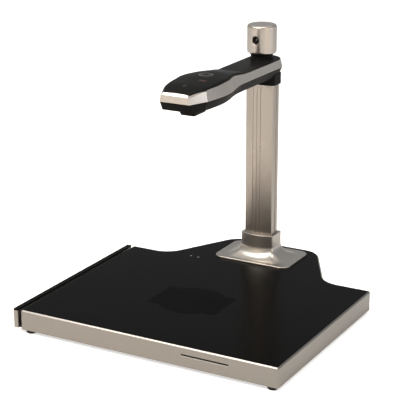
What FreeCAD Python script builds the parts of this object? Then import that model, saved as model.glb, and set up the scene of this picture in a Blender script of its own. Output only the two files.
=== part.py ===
import FreeCAD, Part
import math
import os

# Overhead document camera: a flat stage with a card reader and a swipe rail, a column on the
# stage's tail, and an arm that carries a downward camera, a button and a small portrait camera.
# Millimetres. +Z up, the arm points along -Y. The origin is on the resting plane, at the centre
# of the whole footprint, and the column's middle plane is x = 0.

V = FreeCAD.Vector
UP = V(0, 0, 1)

# ---- driving dimensions ----
FOOTPRINT_X = 330.6
FOOTPRINT_Y = 332.4
FOOT_H = 4.5
STAGE_H = 22.9
STAGE_Y = 242.1
RAIL_W = 6.0
SWIPE_GAP = 3.6
TAIL_HALF_FRONT = 105.8
TAIL_HALF_REAR = 56.8
TAIL_INNER_R = 30.0
TAIL_OUTER_R = 26.5
STAGE_CORNER_R = 2.5
WALL = 2.0
RIM_BEVEL = 1.3
PANEL_T = 2.0
LEDGE_W = 4.0
COVER_T = 1.5

COLUMN_Y = 122.6
COLUMN_TOP = 245.5
COLUMN_HALF_X = 18.3
COLUMN_HALF_Y = 9.1
COLUMN_BOW = 2.9
COLUMN_WALL = 1.8
COLLAR_GROW = 3.2
COLLAR_BOW = 5.2
COLLAR_TOP = 59.0
FLARE_TOP = 44.5
FLANGE_HALF_X = 50.2
FLANGE_HALF_Y = 33.0
FLANGE_T = 2.0
FLANGE_R = 11.0

ARM_WALL = 1.8
ARM_FLOOR_Z = 255.5
ARM_BAND_Z = 266.0
ARM_FRONT_Y = -87.3
NECK_Y = 45.0
LENS_Y = -47.0
ARM_LIMITS_Z = (250.0, 300.0)
BOSS_BOTTOM = 246.6
BUTTON_Y = -18.0
BUTTON_R = 8.3
BUTTON_TRAVEL = 0.6
SWIVEL_Y = 118.1
CAMERA_R = 17.5
CAMERA_BOTTOM = 282.8
CAMERA_TOP = 317.0
CAMERA_LENS_Z = 300.2

CARD_GAP = 1.3
CARD_SLOT_W = 56.6
CARD_SLOT_X = 79.55
CARD_SLOT_Z = 17.8

# ---- values that follow from them ----
RIGHT = FOOTPRINT_X / 2
LEFT = -RIGHT
FRONT = -FOOTPRINT_Y / 2
REAR = FOOTPRINT_Y / 2
STAGE_LEFT = LEFT + RAIL_W + SWIPE_GAP
STAGE_REAR = FRONT + STAGE_Y
SKIRT = FOOT_H
TOP = FOOT_H + STAGE_H
PANEL_Z = TOP - PANEL_T
COVER_Z = SKIRT + COVER_T
FOOT_FLOOR = TOP + 4.0
STAGE_CORNERS = [
    (STAGE_LEFT, FRONT, STAGE_CORNER_R),
    (RIGHT, FRONT, STAGE_CORNER_R),
    (RIGHT, STAGE_REAR, STAGE_CORNER_R),
    (TAIL_HALF_FRONT, STAGE_REAR, TAIL_INNER_R),
    (TAIL_HALF_REAR, REAR, TAIL_OUTER_R),
    (-TAIL_HALF_REAR, REAR, TAIL_OUTER_R),
    (-TAIL_HALF_FRONT, STAGE_REAR, TAIL_INNER_R),
    (STAGE_LEFT, STAGE_REAR, STAGE_CORNER_R),
]

# Right-hand edge lines of the arm, from its front corner back to the straight beam.
FLOOR_LINE = [
    (19.3, -79.8), (23.4, -64.0), (25.3, -45.0), (25.9, -25.0), (23.2, -6.0),
    (20.6, 5.0), (18.6, 16.0), (17.5, 31.0), (17.5, 45.0),
]
BAND_LINE = [
    (18.1, -87.3), (27.4, -64.0), (30.1, -45.0), (31.0, -25.0), (28.4, -6.0),
    (25.6, 5.0), (23.2, 16.0), (21.9, 31.0), (21.9, 45.0),
]
PANEL_LINE = [
    (17.3, -87.3), (25.8, -64.0), (27.9, -45.0), (28.5, -25.0), (25.2, -6.0),
    (22.0, 5.0), (20.0, 16.0), (19.7, 31.0), (19.7, 45.0),
]
# Arm top along its length: y, height of the panel's edge, rise of the shoulder, height on the crown.
TOP_LINE = [
    (-95.0, 271.9, 2.7, 274.0), (-87.3, 273.1, 2.7, 276.1), (-64.0, 276.9, 2.8, 281.0),
    (-45.0, 278.2, 2.8, 282.5), (-25.0, 279.1, 2.8, 283.5), (-6.0, 278.8, 2.8, 283.5),
    (5.0, 278.3, 2.8, 283.0), (16.0, 277.3, 2.6, 281.3), (31.0, 275.7, 2.2, 278.3),
    (45.0, 274.8, 0.6, 275.6),
]
SHOULDER_W = 3.3
BEAM_TOP = TOP_LINE[-1][3]
PANEL_INSET = 0.6


# ---- shape helpers ----
def box(x0, x1, y0, y1, z0, z1):
    return Part.makeBox(x1 - x0, y1 - y0, z1 - z0, V(x0, y0, z0))


def rod(x, y, z0, z1, r):
    return Part.makeCylinder(r, z1 - z0, V(x, y, z0), UP)


def rod_x(x0, x1, y, z, r):
    return Part.makeCylinder(r, x1 - x0, V(x0, y, z), V(1, 0, 0))


def rod_y(x, y0, y1, z, r):
    return Part.makeCylinder(r, y1 - y0, V(x, y0, z), V(0, 1, 0))


def cone_y(y0, y1, z, r0, r1):
    return Part.makeCone(r0, r1, y1 - y0, V(0, y0, z), V(0, 1, 0))


def tube(x, y, z0, z1, r_out, r_in):
    return rod(x, y, z0, z1, r_out).cut(rod(x, y, z0 - 1, z1 + 1, r_in))


def cone(x, y, z0, z1, r0, r1):
    return Part.makeCone(r0, r1, z1 - z0, V(x, y, z0), UP)


def group(solids):
    return Part.makeCompound(solids)


def mirrored(shape):
    return shape.mirror(V(0, 0, 0), V(1, 0, 0))


def is_upright(edge):
    first = edge.Vertexes[0].Point
    last = edge.Vertexes[-1].Point
    return abs(first.x - last.x) < 1e-6 and abs(first.y - last.y) < 1e-6


def edges_at(shape, z):
    """Edges that lie wholly at or above the given height."""
    return [edge for edge in shape.Edges if edge.BoundBox.ZMin > z - 1e-6]


def prism(wire, height):
    return Part.Face(wire).extrude(V(0, 0, height))


def side_prism(points_yz, x0, x1):
    wire = Part.makePolygon([V(x0, y, z) for y, z in points_yz + points_yz[:1]])
    return Part.Face(wire).extrude(V(x1 - x0, 0, 0))


def unit(dx, dy):
    length = math.hypot(dx, dy)
    return dx / length, dy / length


def inset_corners(corners, inset):
    """Corners of a counter-clockwise outline moved inwards, with their radii to match."""
    result = []
    count = len(corners)
    for i, (x, y, r) in enumerate(corners):
        px, py, _ = corners[i - 1]
        nx, ny, _ = corners[(i + 1) % count]
        ax, ay = unit(x - px, y - py)
        bx, by = unit(nx - x, ny - y)
        turn = ax * by - ay * bx
        share = inset / (1 + ax * bx + ay * by)
        new_r = r - inset if turn > 0 else r + inset
        result.append((x + share * (-ay - by), y + share * (ax + bx), max(new_r, 0.4)))
    return result


def outline(corners, z, inset=0.0):
    """Closed wire through corners (x, y, radius), each rounded by a tangent arc."""
    corners = inset_corners(corners, inset)
    count = len(corners)
    edges = []
    last = None
    first = None
    for i, (x, y, r) in enumerate(corners):
        px, py, _ = corners[i - 1]
        nx, ny, _ = corners[(i + 1) % count]
        ax, ay = unit(px - x, py - y)
        bx, by = unit(nx - x, ny - y)
        half = math.acos(max(-1.0, min(1.0, ax * bx + ay * by))) / 2
        reach = r / math.tan(half)
        mx, my = unit(ax + bx, ay + by)
        bulge = r / math.sin(half) - r
        start = V(x + ax * reach, y + ay * reach, z)
        end = V(x + bx * reach, y + by * reach, z)
        if last is None:
            first = start
        else:
            edges.append(Part.LineSegment(last, start).toShape())
        edges.append(Part.Arc(start, V(x + mx * bulge, y + my * bulge, z), end).toShape())
        last = end
    edges.append(Part.LineSegment(last, first).toShape())
    return Part.Wire(edges)


def rect_corners(cx, cy, half_x, half_y, r):
    return [
        (cx - half_x, cy - half_y, r),
        (cx + half_x, cy - half_y, r),
        (cx + half_x, cy + half_y, r),
        (cx - half_x, cy + half_y, r),
    ]


def slab(corners, z0, z1, inset=0.0):
    return prism(outline(corners, z0, inset), z1 - z0)


def plate(cx, cy, half_x, half_y, r, z0, z1):
    return slab(rect_corners(cx, cy, half_x, half_y, r), z0, z1)


def hex_prism(x, y, z0, z1, across):
    r = across / math.sqrt(3)
    turns = [math.radians(60 * i) for i in range(7)]
    points = [V(x + r * math.cos(t), y + r * math.sin(t), z0) for t in turns]
    return prism(Part.makePolygon(points), z1 - z0)


def bowed_wire(half_x, half_y, bow, z, front_r, back_r):
    """Section round the column's axis: flat back and sides, front face bowed outwards."""
    back = COLUMN_Y + half_y
    big = (half_x ** 2 + bow ** 2) / (2 * bow)
    centre = COLUMN_Y - half_y - bow + big
    x = half_x - front_r
    y = centre - math.sqrt((big - front_r) ** 2 - x ** 2)
    lean = math.atan2(x, centre - y)
    middle = (lean + math.pi / 2) / 2
    meet = V(big * math.sin(lean), centre - big * math.cos(lean), z)
    swell = V(x + front_r * math.sin(middle), y - front_r * math.cos(middle), z)
    inner = half_x - back_r
    bend = back_r * (1 - math.sqrt(0.5))
    front = Part.Arc(V(-meet.x, meet.y, z), V(0, centre - big, z), meet)
    right_front = Part.Arc(meet, swell, V(half_x, y, z))
    right = Part.LineSegment(V(half_x, y, z), V(half_x, back - back_r, z))
    corner = V(half_x - bend, back - bend, z)
    right_back = Part.Arc(V(half_x, back - back_r, z), corner, V(inner, back, z))
    rear = Part.LineSegment(V(inner, back, z), V(-inner, back, z))
    half = [right_front.toShape(), right.toShape(), right_back.toShape()]
    other = [mirrored(e) for e in reversed(half)]
    return Part.Wire([front.toShape()] + half + [rear.toShape()] + other)


def bowed_prism(grow, z0, z1, front_r=2.2, back_r=4.6, bow=COLUMN_BOW):
    """Upright body with the column's section, grown outwards by the given amount."""
    wire = bowed_wire(COLUMN_HALF_X + grow, COLUMN_HALF_Y + grow, bow, z0, front_r, back_r)
    return prism(wire, z1 - z0)


def cable(points, diameter):
    """Round cable along straight runs joined by the largest tangent arcs that fit."""
    points = [V(*p) for p in points]
    edges = []
    last = points[0]
    for i in range(1, len(points) - 1):
        back = points[i - 1].sub(points[i])
        ahead = points[i + 1].sub(points[i])
        reach = 0.45 * min(back.Length, ahead.Length)
        back.normalize()
        ahead.normalize()
        half = math.acos(max(-1.0, min(1.0, back.dot(ahead)))) / 2
        radius = reach * math.tan(half)
        middle = back.add(ahead)
        middle.normalize()
        start = points[i].add(back.multiply(reach))
        end = points[i].add(ahead.multiply(reach))
        apex = points[i].add(middle.multiply(radius / math.sin(half) - radius))
        edges.append(Part.LineSegment(last, start).toShape())
        edges.append(Part.Arc(start, apex, end).toShape())
        last = end
    edges.append(Part.LineSegment(last, points[-1]).toShape())
    path = Part.Wire(edges)
    direction = points[1].sub(points[0])
    circle = Part.Wire([Part.makeCircle(diameter / 2, points[0], direction)])
    return path.makePipeShell([circle], True, True)


def screw(x, y, z_head, length, r, up=True, head_r=None, head_h=1.6):
    """Pan-head screw: the head's seat is at z_head, the shank runs up or down from it."""
    sign = 1 if up else -1
    head_r = head_r or r * 1.8
    shank_low = min(z_head, z_head + sign * length)
    shank = rod(x, y, shank_low, shank_low + length, r)
    head_low = min(z_head, z_head - sign * head_h)
    head = rod(x, y, head_low, head_low + head_h, head_r)
    drive_low = head_low if up else head_low + head_h / 2
    drive = group(
        [
            box(x - head_r * 0.6, x + head_r * 0.6, y - 0.35, y + 0.35, drive_low, drive_low + head_h / 2),
            box(x - 0.35, x + 0.35, y - head_r * 0.6, y + head_r * 0.6, drive_low, drive_low + head_h / 2),
        ]
    )
    return shank.fuse(head).cut(drive).removeSplitter()


# ---- base ----
COVER_SCREWS = [
    (STAGE_LEFT + 5.6, FRONT + 24.0),
    (STAGE_LEFT + 5.6, STAGE_REAR - 24.0),
    (RIGHT - 5.6, FRONT + 24.0),
    (RIGHT - 5.6, STAGE_REAR - 24.0),
    (0.0, FRONT + 5.6),
    (RIGHT - 5.6, -45.0),
    (-38.0, REAR - 5.6),
    (44.0, REAR - 5.6),
]
STANDOFFS = [(-50.0, 95.0), (50.0, 95.0), (-47.0, 149.0), (47.0, 149.0)]
FOOT_SCREWS = [(-38.0, 99.0), (38.0, 99.0), (-38.0, 143.0), (38.0, 143.0)]
COLUMN_SCREWS = [(-11.5, COLUMN_Y), (11.5, COLUMN_Y)]
LIGHTS = [(-74.65, 78.6), (-64.65, 78.6)]
BRACKET_T = 3.0
BRACKET_Z = PANEL_Z - BRACKET_T
CABLE_HOLE_R = 7.0
CARD_FRONT = FRONT + WALL
USB_X = 18.0
USB_Z = 16.0
BOARD_Z = 9.0
BOARD_T = 1.4
HEAD_Y = -45.0
HEAD_Z0 = 12.0
HEAD_Z1 = 21.0
RAIL_Z = SKIRT + 0.8
RAIL_FLOOR_Z = SKIRT + 1.4
RAIL_FLOOR_T = 3.4
RAIL_SCREWS_Y = (-120.0, -80.0, -10.0, 40.0)
RAIL_SCREW_Z = RAIL_FLOOR_Z + RAIL_FLOOR_T / 2


def base_frame():
    body = slab(STAGE_CORNERS, SKIRT, TOP - RIM_BEVEL)
    bevel = Part.makeLoft(
        [outline(STAGE_CORNERS, TOP - RIM_BEVEL), outline(STAGE_CORNERS, TOP, RIM_BEVEL)], True, True
    )
    body = body.fuse(bevel)
    body = body.cut(slab(STAGE_CORNERS, PANEL_Z, TOP + 1, RIM_BEVEL + 0.3))
    body = body.cut(slab(STAGE_CORNERS, SKIRT - 1, TOP, WALL + LEDGE_W))
    under_ledge = slab(STAGE_CORNERS, SKIRT - 1, PANEL_Z - 2.0, WALL)
    body = body.cut(under_ledge)
    room = slab(STAGE_CORNERS, SKIRT, PANEL_Z, WALL)
    for x, y in COVER_SCREWS:
        post = rod(x, y, COVER_Z, PANEL_Z - 0.5, 4.2).fuse(post_web(x, y))
        body = body.fuse(post.common(room))
    for x, y in COVER_SCREWS:
        body = body.cut(rod(x, y, COVER_Z - 1, PANEL_Z - 4, 1.25))
    body = body.cut(card_slot())
    usb = box(USB_X - 6.3, USB_X + 6.3, REAR - WALL - 1, REAR + 1, USB_Z - 5.7, USB_Z + 5.7)
    body = body.cut(usb)
    window = box(STAGE_LEFT - 1, STAGE_LEFT + WALL + 1, HEAD_Y - 8, HEAD_Y + 8, HEAD_Z0 - 1, HEAD_Z1 + 1)
    body = body.cut(window)
    for y in RAIL_SCREWS_Y:
        body = body.cut(rod_x(STAGE_LEFT - 1, STAGE_LEFT + WALL + 1, y, RAIL_SCREW_Z, 1.3))
    return body.removeSplitter()


def post_web(x, y):
    """Rib that ties a screw post to the nearest wall."""
    reach = 7.0
    thick = 1.5
    if x < STAGE_LEFT + 10:
        return box(x - reach, x, y - thick, y + thick, COVER_Z, PANEL_Z - 0.5)
    if x > RIGHT - 10:
        return box(x, x + reach, y - thick, y + thick, COVER_Z, PANEL_Z - 0.5)
    if y > 0:
        return box(x - thick, x + thick, y, y + reach, COVER_Z, PANEL_Z - 0.5)
    return box(x - thick, x + thick, y - reach, y, COVER_Z, PANEL_Z - 0.5)


def card_slot():
    """Slot for a chip card, with a shallow lead-in at its mouth."""
    half_w = CARD_SLOT_W / 2
    half_h = CARD_GAP / 2
    through = box(
        CARD_SLOT_X - half_w, CARD_SLOT_X + half_w, FRONT - 1, CARD_FRONT + 1,
        CARD_SLOT_Z - half_h, CARD_SLOT_Z + half_h,
    )
    lead = 0.5
    mouth = side_prism(
        [
            (FRONT, CARD_SLOT_Z - half_h - lead),
            (FRONT + lead, CARD_SLOT_Z - half_h),
            (FRONT + lead, CARD_SLOT_Z + half_h),
            (FRONT, CARD_SLOT_Z + half_h + lead),
        ],
        CARD_SLOT_X - half_w,
        CARD_SLOT_X + half_w,
    )
    return through.fuse(mouth)


def top_panel():
    body = slab(STAGE_CORNERS, PANEL_Z, TOP, RIM_BEVEL + 0.4)
    body = body.cut(card_zone(0.0, 0.05))
    for x, y in LIGHTS:
        body = body.cut(rod(x, y, PANEL_Z - 1, TOP + 1, 1.55))
    for x, y in FOOT_SCREWS + COLUMN_SCREWS:
        body = body.cut(rod(x, y, PANEL_Z - 1, TOP + 1, 2.3))
    return body.cut(rod(0, COLUMN_Y, PANEL_Z - 1, TOP + 1, CABLE_HOLE_R))


FILM_T = 0.3
ZONE_X = -1.6
ZONE_Y = -49.2
ZONE_HALF_X = 43.3
ZONE_HALF_Y = 27.2
ZONE_RING_R = 39.0


def card_zone(clearance, above):
    """Card-sized mark joined with a disc, as thick as the film that fills it."""
    low = TOP - FILM_T
    card = plate(
        ZONE_X, ZONE_Y, ZONE_HALF_X - clearance, ZONE_HALF_Y - clearance, 3.0, low, TOP + above
    )
    disc = rod(ZONE_X, ZONE_Y, low, TOP + above, ZONE_RING_R - clearance)
    return card.fuse(disc).removeSplitter()


def card_zone_film():
    return card_zone(0.1, 0.0)


FEET = [
    (STAGE_LEFT + 9.5, FRONT + 7.2),
    (RIGHT - 9.5, FRONT + 7.2),
    (STAGE_LEFT + 9.5, STAGE_REAR - 7.2),
    (RIGHT - 9.5, STAGE_REAR - 7.2),
    (-26.0, REAR - 14.0),
    (26.0, REAR - 14.0),
]
FOOT_R = 6.0


def bottom_cover():
    body = slab(STAGE_CORNERS, SKIRT, COVER_Z, WALL + 0.3)
    for x, y in COVER_SCREWS:
        body = body.cut(rod(x, y, SKIRT - 1, COVER_Z + 1, 1.7))
    for x, y in STANDOFFS:
        body = body.cut(rod(x, y, SKIRT - 1, COVER_Z + 1, 2.2))
    vent_x0 = -60.0
    for i in range(8):
        x = vent_x0 + i * 6.0
        body = body.cut(plate(x, 45.0, 1.0, 12.0, 0.9, SKIRT - 1, COVER_Z + 1))
    return body


def rubber_feet():
    feet = []
    for x, y in FEET:
        body = cone(x, y, 1.0, SKIRT, FOOT_R - 0.3, FOOT_R)
        sole = cone(x, y, 0.0, 1.0, FOOT_R - 1.2, FOOT_R - 0.3)
        feet.append(body.fuse(sole).removeSplitter())
    return group(feet)


def cover_screws():
    screws = [screw(x, y, SKIRT, 8.0, 1.2, head_r=2.8) for x, y in COVER_SCREWS]
    screws += [screw(x, y, SKIRT, 6.0, 1.6, head_r=3.4) for x, y in STANDOFFS]
    return group(screws)


SUPPORTS = [(-110.0, -110.0), (0.0, -120.0), (125.0, -45.0), (-110.0, 30.0), (100.0, 30.0), (0.0, 25.0)]


def panel_supports():
    posts = [tube(x, y, COVER_Z, PANEL_Z, 5.0, 2.0) for x, y in SUPPORTS]
    return group(posts)


def weight_plate():
    body = plate(-5.0, -50.0, 75.0, 45.0, 4.0, COVER_Z, COVER_Z + 4.0)
    return body.cut(plate(-5.0, -50.0, 30.0, 12.0, 3.0, COVER_Z - 1, COVER_Z + 5.0))


# ---- swipe rail ----
CAP_T = 1.6


def swipe_rail():
    wall = box(LEFT, LEFT + RAIL_W, FRONT, STAGE_REAR, RAIL_Z, TOP - CAP_T)
    floor_top = RAIL_FLOOR_Z + RAIL_FLOOR_T
    floor = box(LEFT + RAIL_W - 0.1, STAGE_LEFT, FRONT + 1.5, STAGE_REAR - 1.5, RAIL_FLOOR_Z, floor_top)
    groove = box(LEFT + 2.2, LEFT + RAIL_W - 2.2, FRONT + 4, STAGE_REAR - 4, TOP - CAP_T - 2.0, TOP)
    edges = [e for e in wall.Edges if is_upright(e)]
    body = wall.makeFillet(1.0, edges).fuse(floor).cut(groove)
    for y in RAIL_SCREWS_Y:
        body = body.cut(rod_x(STAGE_LEFT - 8.5, STAGE_LEFT, y, RAIL_SCREW_Z, 1.1))
    return body.removeSplitter()


def rail_screws():
    """Screws driven from inside the frame's wall into the rail's foot."""
    screws = []
    inner = STAGE_LEFT + WALL
    for y in RAIL_SCREWS_Y:
        shank = rod_x(STAGE_LEFT - 8.0, inner, y, RAIL_SCREW_Z, 1.1)
        head = rod_x(inner, inner + 1.4, y, RAIL_SCREW_Z, 1.6)
        screws.append(shank.fuse(head).removeSplitter())
    return group(screws)


def swipe_rail_cap():
    top = box(LEFT, LEFT + RAIL_W, FRONT, STAGE_REAR, TOP - CAP_T, TOP)
    edges = [e for e in top.Edges if is_upright(e)]
    tongue = box(
        LEFT + 2.3, LEFT + RAIL_W - 2.3, FRONT + 4.2, STAGE_REAR - 4.2, TOP - CAP_T - 1.8, TOP - CAP_T
    )
    return top.makeFillet(1.0, edges).fuse(tongue).removeSplitter()


def read_head():
    """Magnetic head whose rounded nose looks into the swipe gap."""
    block = box(STAGE_LEFT + 0.5, STAGE_LEFT + 9.0, HEAD_Y - 6.0, HEAD_Y + 6.0, HEAD_Z0, HEAD_Z1)
    nose = rod(STAGE_LEFT + 5.8, HEAD_Y, HEAD_Z0, HEAD_Z1, 7.0)
    keep = box(STAGE_LEFT - 1.2, STAGE_LEFT + 6.0, HEAD_Y - 5.0, HEAD_Y + 5.0, HEAD_Z0, HEAD_Z1)
    return block.fuse(nose.common(keep)).removeSplitter()


def read_head_spring():
    """Bent leaf that presses the head into the gap, fixed to the frame wall at both ends."""
    x0 = STAGE_LEFT + WALL
    x1 = STAGE_LEFT + 9.0
    z0 = HEAD_Z0 + 1.5
    z1 = HEAD_Z1 - 1.5
    thick = 0.5
    leaf = box(x1, x1 + thick, HEAD_Y - 9.0, HEAD_Y + 9.0, z0, z1)
    bends = []
    for side in (-1, 1):
        near = HEAD_Y + side * 9.0
        leg_far = near + side * thick
        ear_far = near + side * 6.0
        bends.append(box(x0, x1 + thick, min(near, leg_far), max(near, leg_far), z0, z1))
        bends.append(box(x0, x0 + thick, min(near, ear_far), max(near, ear_far), z0, z1))
    return leaf.multiFuse(bends).removeSplitter()


# ---- chip-card reader ----
READER_BACK = CARD_FRONT + 52.0
READER_HALF_W = 31.0
READER_LOW = 12.6
READER_HIGH = 22.6
CARD_LOW = CARD_SLOT_Z - CARD_GAP / 2
CARD_HIGH = CARD_SLOT_Z + CARD_GAP / 2


def reader_block(half_w_in, half_w_out, y0, z0, z1):
    """Part of the reader: from y0 to its back, between two half widths on both sides."""
    outer = box(CARD_SLOT_X - half_w_out, CARD_SLOT_X + half_w_out, y0, READER_BACK, z0, z1)
    if half_w_in == 0:
        return outer
    x0 = CARD_SLOT_X - half_w_in
    x1 = CARD_SLOT_X + half_w_in
    return outer.cut(box(x0, x1, y0 - 1, READER_BACK - 2.0, z0, z1))


def card_reader_lower():
    """Tray with side rails and a stop round the card's way."""
    tray = reader_block(0, READER_HALF_W, CARD_FRONT, READER_LOW, CARD_LOW)
    rails = reader_block(CARD_SLOT_W / 2, READER_HALF_W, CARD_FRONT, CARD_LOW, CARD_HIGH)
    legs = [
        rod(CARD_SLOT_X + side * 26.0, CARD_FRONT + y, COVER_Z, READER_LOW, 3.0)
        for side in (-1, 1)
        for y in (8.0, 44.0)
    ]
    return tray.multiFuse([rails] + legs).removeSplitter()


def card_reader_upper():
    cover = reader_block(0, READER_HALF_W, CARD_FRONT, CARD_HIGH, READER_HIGH)
    x0 = CARD_SLOT_X - 9.0
    x1 = CARD_SLOT_X + 9.0
    return cover.cut(box(x0, x1, READER_BACK - 26.0, READER_BACK - 10.0, CARD_HIGH - 1, READER_HIGH + 1))


def card_contacts():
    """Two rows of four spring contacts that touch the chip."""
    contacts = []
    half_w = 0.4
    arm_z = READER_HIGH - 1.2
    for row in range(2):
        for i in range(4):
            x = CARD_SLOT_X + (i - 1.5) * 2.54
            y = READER_BACK - 24.5 + row * 7.6
            arm = box(x - half_w, x + half_w, y, y + 5.0, arm_z, arm_z + 0.4)
            finger = box(x - half_w, x + half_w, y, y + 0.4, CARD_HIGH - 0.3, arm_z + 0.4)
            contacts.append(arm.fuse(finger).removeSplitter())
    return group(contacts)


def antenna_board():
    return plate(ZONE_X, ZONE_Y, 42.0, 26.0, 2.0, PANEL_Z - 1.0, PANEL_Z)


# ---- main board and sockets ----
BOARD_X0 = -33.0
BOARD_X1 = 36.0
BOARD_Y0 = 98.0
BOARD_Y1 = REAR - WALL - 1.0


def main_board():
    body = box(BOARD_X0, BOARD_X1, BOARD_Y0, BOARD_Y1, BOARD_Z, BOARD_Z + BOARD_T)
    for x in (BOARD_X0 + 5, BOARD_X1 - 5):
        for y in (BOARD_Y0 + 5, BOARD_Y1 - 12):
            body = body.fuse(rod(x, y, COVER_Z, BOARD_Z, 2.5))
    return body.removeSplitter()


CABLE_SOCKET_TOP = 15.4


def board_parts():
    """Chips, a crystal, capacitors and cable headers on the main board."""
    z = BOARD_Z + BOARD_T
    parts = [
        box(-26.0, -12.0, 128.0, 142.0, z, z + 1.4),
        box(-28.0, -20.0, 108.0, 114.0, z, z + 1.2),
        box(12.0, 22.0, 106.0, 113.0, z, z + 1.2),
        plate(-6.0, 150.0, 5.4, 2.2, 2.0, z, z + 3.4),
        plate(0.0, COLUMN_Y, 7.0, 3.5, 0.5, z, CABLE_SOCKET_TOP),
        box(-32.0, -26.5, 118.0, 126.0, z, z + 4.0),
    ]
    parts += [rod(28.0, 124.0 + 8.0 * i, z, z + 5.5, 2.5) for i in range(3)]
    return group(parts)


def usb_socket():
    """Square peripheral socket: folded metal can round a plastic tongue."""
    y0 = REAR - 16.0
    can = box(USB_X - 6.0, USB_X + 6.0, y0, REAR, BOARD_Z + BOARD_T, USB_Z + 5.5)
    mouth = box(USB_X - 4.4, USB_X + 4.4, y0 + 5.0, REAR + 1.0, USB_Z - 4.2, USB_Z + 4.6)
    tongue = box(USB_X - 2.8, USB_X + 2.8, y0 + 4.0, REAR - 5.0, USB_Z - 1.6, USB_Z + 1.6)
    return can.cut(mouth).fuse(tongue).removeSplitter()


LIGHT_BOARD_Z = 10.0


def status_light_pipes():
    pipes = []
    for x, y in LIGHTS:
        pipe = rod(x, y, LIGHT_BOARD_Z + 2.4, TOP, 1.45)
        pipes.append(pipe.fuse(rod(x, y, PANEL_Z - 1.2, PANEL_Z - 0.1, 2.4)).removeSplitter())
    return group(pipes)


def status_light_board():
    x0 = LIGHTS[0][0]
    x1 = LIGHTS[1][0]
    y = LIGHTS[0][1]
    board_z = LIGHT_BOARD_Z - 1.2
    board = box(x0 - 7, x1 + 7, y - 5, y + 5, board_z, LIGHT_BOARD_Z)
    legs = [rod(x, y, COVER_Z, board_z, 1.8) for x in (x0 - 4.5, x1 + 4.5)]
    lamps = [rod(x, y, LIGHT_BOARD_Z, LIGHT_BOARD_Z + 2.0, 1.4) for x, y in LIGHTS]
    return board.multiFuse(legs + lamps).removeSplitter()


def base_cables():
    """Leads from the card reader, the read head and the lights to the main board."""
    z = COVER_Z + 1.6
    d = 2.2
    socket_y = BOARD_Y0 - 1.0
    top = BOARD_Z + 0.7
    reader = cable(
        [
            (80.0, -111.4, 15.0), (80.0, -95.0, z), (82.0, -60.0, z), (76.0, -10.0, z),
            (62.0, 40.0, z), (32.0, 70.0, z), (20.0, 86.0, z), (18.0, socket_y, top),
        ],
        d,
    )
    head = cable(
        [
            (STAGE_LEFT + 10.0, HEAD_Y, 16.0), (STAGE_LEFT + 24.0, HEAD_Y + 4, 11.0),
            (STAGE_LEFT + 32.0, HEAD_Y + 20, z), (-112.0, 2.0, z), (-84.0, 40.0, z),
            (-50.0, 64.0, z), (-32.0, 82.0, z), (-26.0, socket_y, top),
        ],
        d,
    )
    lights = cable(
        [
            (-57.2, 76.0, 9.4), (-48.0, 74.0, 8.6), (-38.0, 78.0, z),
            (-26.0, 84.0, z), (-20.0, socket_y, top),
        ],
        d,
    )
    return group([reader, head, lights])


# ---- column ----
def column_bracket():
    corners = [(-58, 86, 4), (58, 86, 4), (54, 152, 4), (34, 157, 4), (-34, 157, 4), (-54, 152, 4)]
    body = slab(corners, BRACKET_Z, PANEL_Z - 0.1)
    for x, y in STANDOFFS + FOOT_SCREWS + COLUMN_SCREWS:
        body = body.cut(rod(x, y, BRACKET_Z - 1, PANEL_Z + 1, 2.3))
    return body.cut(rod(0, COLUMN_Y, BRACKET_Z - 1, PANEL_Z + 1, CABLE_HOLE_R))


def bracket_standoffs():
    posts = []
    for x, y in STANDOFFS:
        post = hex_prism(x, y, COVER_Z, BRACKET_Z, 8.0)
        posts.append(post.cut(rod(x, y, COVER_Z - 1, BRACKET_Z + 1, 1.65)))
    return group(posts)


def bracket_screws():
    """Short screws that hold the bracket down on its standoffs, heads sunk in the bracket."""
    screws = []
    for x, y in STANDOFFS:
        shank = rod(x, y, BRACKET_Z - 6.0, BRACKET_Z + 1.2, 1.6)
        head = cone(x, y, BRACKET_Z + 1.2, PANEL_Z - 0.2, 1.6, 2.2)
        screws.append(shank.fuse(head).removeSplitter())
    return group(screws)


FLARE_STEPS = 6
FLARE_EDGE = 1.2
FLARE_SINK = 0.6
FLARE_SOFT = 4.5
FLARE_END_R = 2.8


def flare_section(t):
    """Rounded section of the flare: t = 0 near the flange's edge, 1 at the collar."""
    angle = t * math.pi / 2
    inward = math.sin(angle) ** 0.9
    low = TOP + FLANGE_T - FLARE_SINK
    half_x = FLANGE_HALF_X - FLARE_EDGE
    half_y = FLANGE_HALF_Y - FLARE_EDGE
    half_x += (COLUMN_HALF_X + COLLAR_GROW - half_x) * inward
    half_y += (COLUMN_HALF_Y + COLLAR_GROW - half_y) * inward
    bow = 0.3 + (COLLAR_BOW - 0.3) * inward
    r = FLANGE_R + (FLARE_END_R - FLANGE_R) * inward + FLARE_SOFT * math.sin(math.pi * inward)
    z = low + (FLARE_TOP - low) * (1 - math.cos(angle))
    return bowed_wire(half_x, half_y, bow, z, r, r)


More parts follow.
